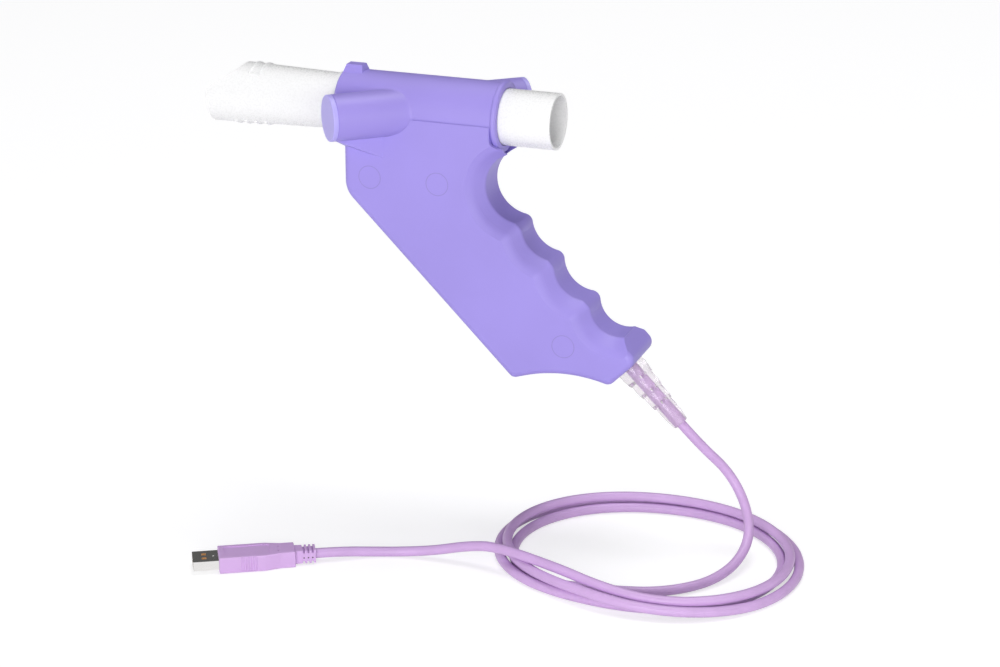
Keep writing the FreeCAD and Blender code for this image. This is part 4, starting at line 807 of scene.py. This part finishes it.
class SPIROMETER_OT_plug_details(bpy.types.Operator):
    """Set dark discs of painted shade as the small holes in the plug's neck, and the dimple on its
    metal shell
    """

    bl_idname = "spirometer.plug_details"
    bl_label = "Plug details"

    def execute(self, context):
        settings = context.scene.spirometer_marks
        colour = context.scene.spirometer_finishes.cable_colour
        # No hole is cut: each hole is a near-black disc on the neck, painted shade where the hole
        # would be dark.
        shade = dark_resin("neck_hole_shade", tinted(colour, 0.1), 0.6)
        points = [plug_point(along, NECK_SIDE, HOLE_DROP) for along in NECK_HOLES]
        turn = (math.pi / 2, 0, PLUG_TURN.angle)
        inputs = (("Radius", settings.hole_radius),)
        tree = repeat_tree("neck_holes", inputs, turn, shade, neck_hole)
        holes = from_points("neck_holes", points, tree)
        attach(holes, "handle")
        profile = [(DIMPLE_ROOT, 0.0)]
        for part in range(DIMPLE_POINTS):
            tilt = math.pi / 2 * part / DIMPLE_POINTS
            profile.append((DIMPLE_HEIGHT * math.sin(tilt), DIMPLE_RADIUS * math.cos(tilt)))
        profile.append((DIMPLE_HEIGHT, 0.0))
        place = Matrix.Translation(plug_point(*DIMPLE_PLACE))
        dimple = lathe("shell_dimple", profile, place, 32)
        dimple.data.shade_smooth()
        dimple.data.materials.append(NODES["plug_shell"].data.materials[0])
        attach(dimple, "handle")
        return {"FINISHED"}


# Stage

LAMP_TARGET = Vector((0.0, -0.01, -0.02))
LAMPS = (
    ("front", (0.32, -2.56, 0.48), 1.44),
    ("side", (1.2, -1.0, 0.25), 0.9),
    ("top", (0.1, 0.55, 2.8), 1.3),
)
SHADOW_CATCH = (0.5, 0.5, 0.51, 1)
PLAIN_WHITE = (0.8, 0.8, 0.8, 1)
CAMERA_PLACE = Vector((385.0, -1074.6, 398.4)) * MM


def add_lamp(name, position, size, power):
    """Soft square lamp that looks at the part."""
    light = bpy.data.lights.new(name, "AREA")
    light.shape = "SQUARE"
    light.size = size
    light.energy = power
    lamp = bpy.data.objects.new(name, light)
    lamp.location = position
    lamp.rotation_mode = "QUATERNION"
    lamp.rotation_quaternion = (LAMP_TARGET - position).to_track_quat("-Z", "Y")
    bpy.context.collection.objects.link(lamp)


def rays(tree, *kinds):
    """One for rays of the given kinds, zero for all others."""
    path = tree.nodes.new("ShaderNodeLightPath")
    total = Field(tree, path.outputs[f"Is {kinds[0]} Ray"])
    for kind in kinds[1:]:
        total = total + Field(tree, path.outputs[f"Is {kind} Ray"])
    return total.limited(0.0, 1.0)


def floor_material(settings):
    """White ground to look at, which keeps the soft shadow and lights the part as plain white."""
    material = bpy.data.materials.new("white_floor")
    material.use_nodes = True
    tree = material.node_tree
    tree.nodes.clear()
    output = tree.nodes.new("ShaderNodeOutputMaterial")
    lit = tree.nodes.new("ShaderNodeBsdfDiffuse")
    glow = tree.nodes.new("ShaderNodeEmission")
    total = tree.nodes.new("ShaderNodeAddShader")
    plain = tree.nodes.new("ShaderNodeBsdfDiffuse")
    choice = tree.nodes.new("ShaderNodeMixShader")
    lit.inputs["Color"].default_value = SHADOW_CATCH
    plain.inputs["Color"].default_value = PLAIN_WHITE
    glow.inputs["Strength"].default_value = settings.floor_glow
    tree.links.new(lit.outputs[0], total.inputs[0])
    tree.links.new(glow.outputs[0], total.inputs[1])
    feed(tree, choice.inputs[0], rays(tree, "Camera", "Glossy", "Transmission"))
    tree.links.new(plain.outputs[0], choice.inputs[1])
    tree.links.new(total.outputs[0], choice.inputs[2])
    tree.links.new(choice.outputs[0], output.inputs["Surface"])
    return material


def white_world(settings):
    """White to look at, while its light is soft and has a level of its own for each side."""
    world = bpy.data.worlds.new("white_room")
    world.use_nodes = True
    tree = world.node_tree
    background = tree.nodes["Background"]
    background.inputs["Color"].default_value = (1, 1, 1, 1)
    direction = tree.nodes.new("ShaderNodeTexCoord")
    parts = tree.nodes.new("ShaderNodeSeparateXYZ")
    tree.links.new(direction.outputs["Generated"], parts.inputs[0])
    east, north, rise = (Field(tree, parts.outputs[name]) for name in "XYZ")
    low = 1.0 - rise.ramp(0.1, 0.7)
    around = north.ramp(0.5, -0.6, settings.back_sky, settings.front_sky)
    left = east.ramp(-0.3, -1.0, 0.0, settings.left_sky)
    right = east.ramp(0.3, 1.0, 0.0, settings.right_sky)
    light = low * (around + left + right) + rise.ramp(0.3, 1.0, 0.0, settings.high_sky)
    seen = rays(tree, "Camera", "Transmission")
    feed(tree, background.inputs["Strength"], light + seen * (1.0 - light))
    bpy.context.scene.world = world


class SPIROMETER_OT_stage(bpy.types.Operator):
    """Set up the floor, the lamps and the camera"""

    bl_idname = "spirometer.stage"
    bl_label = "Stage"

    def execute(self, context):
        settings = context.scene.spirometer_stage
        sides = ((-1, -1), (1, -1), (1, 1), (-1, 1))
        corners = [(x * FLOOR_REACH, y * FLOOR_REACH, FLOOR - FLOOR_GAP) for x, y in sides]
        floor = mesh_object("floor", corners, [(0, 1, 2, 3)])
        floor.data.materials.append(floor_material(settings))
        white_world(settings)
        for name, position, size in LAMPS:
            add_lamp(f"{name}_lamp", Vector(position), size, getattr(settings, f"{name}_power"))
        camera_data = bpy.data.cameras.new("photo_camera")
        camera_data.sensor_width = 36.0
        camera_data.lens = settings.focal_pixels * camera_data.sensor_width / IMAGE_WIDTH
        camera_data.clip_start = 0.01
        camera = bpy.data.objects.new("photo_camera", camera_data)
        level = math.cos(settings.elevation)
        forward = Vector((-math.sin(settings.azimuth) * level, math.cos(settings.azimuth) * level,
                          -math.sin(settings.elevation)))
        camera.location = CAMERA_PLACE
        camera.rotation_mode = "QUATERNION"
        camera.rotation_quaternion = forward.to_track_quat("-Z", "Y")
        context.collection.objects.link(camera)
        context.scene.camera = camera
        context.scene.view_settings.view_transform = "Standard"
        return {"FINISHED"}


class SPIROMETER_PT_panel(bpy.types.Panel):
    """Steps that dress the spirometer, in their order"""

    bl_label = "Spirometer"
    bl_idname = "SPIROMETER_PT_panel"
    bl_space_type = "VIEW_3D"
    bl_region_type = "UI"
    bl_category = "Spirometer"

    def draw(self, context):
        for group in GROUPS:
            settings = getattr(context.scene, group)
            box = self.layout.box()
            for name in settings.bl_rna.properties.keys():
                if name not in ("rna_type", "name"):
                    box.prop(settings, name)
        for step in STEPS:
            self.layout.operator(step.bl_idname)


STEPS = (
    SPIROMETER_OT_cable,
    SPIROMETER_OT_housing,
    SPIROMETER_OT_flow_tube,
    SPIROMETER_OT_inner_parts,
    SPIROMETER_OT_cable_ends,
    SPIROMETER_OT_strain_relief,
    SPIROMETER_OT_marks,
    SPIROMETER_OT_plug_details,
    SPIROMETER_OT_stage,
)
GROUPS = {
    "spirometer_finishes": SpirometerFinishes,
    "spirometer_cable": SpirometerCable,
    "spirometer_marks": SpirometerMarks,
    "spirometer_stage": SpirometerStage,
}
CLASSES = (*GROUPS.values(), *STEPS, SPIROMETER_PT_panel)


def register():
    for kind in CLASSES:
        bpy.utils.register_class(kind)
    for name, group in GROUPS.items():
        setattr(bpy.types.Scene, name, PointerProperty(type=group))


def unregister():
    for name in GROUPS:
        delattr(bpy.types.Scene, name)
    for kind in reversed(CLASSES):
        bpy.utils.unregister_class(kind)


def main():
    register()
    for step in STEPS:
        family, name = step.bl_idname.split(".")
        getattr(getattr(bpy.ops, family), name)()


if __name__ == "__main__":
    main()
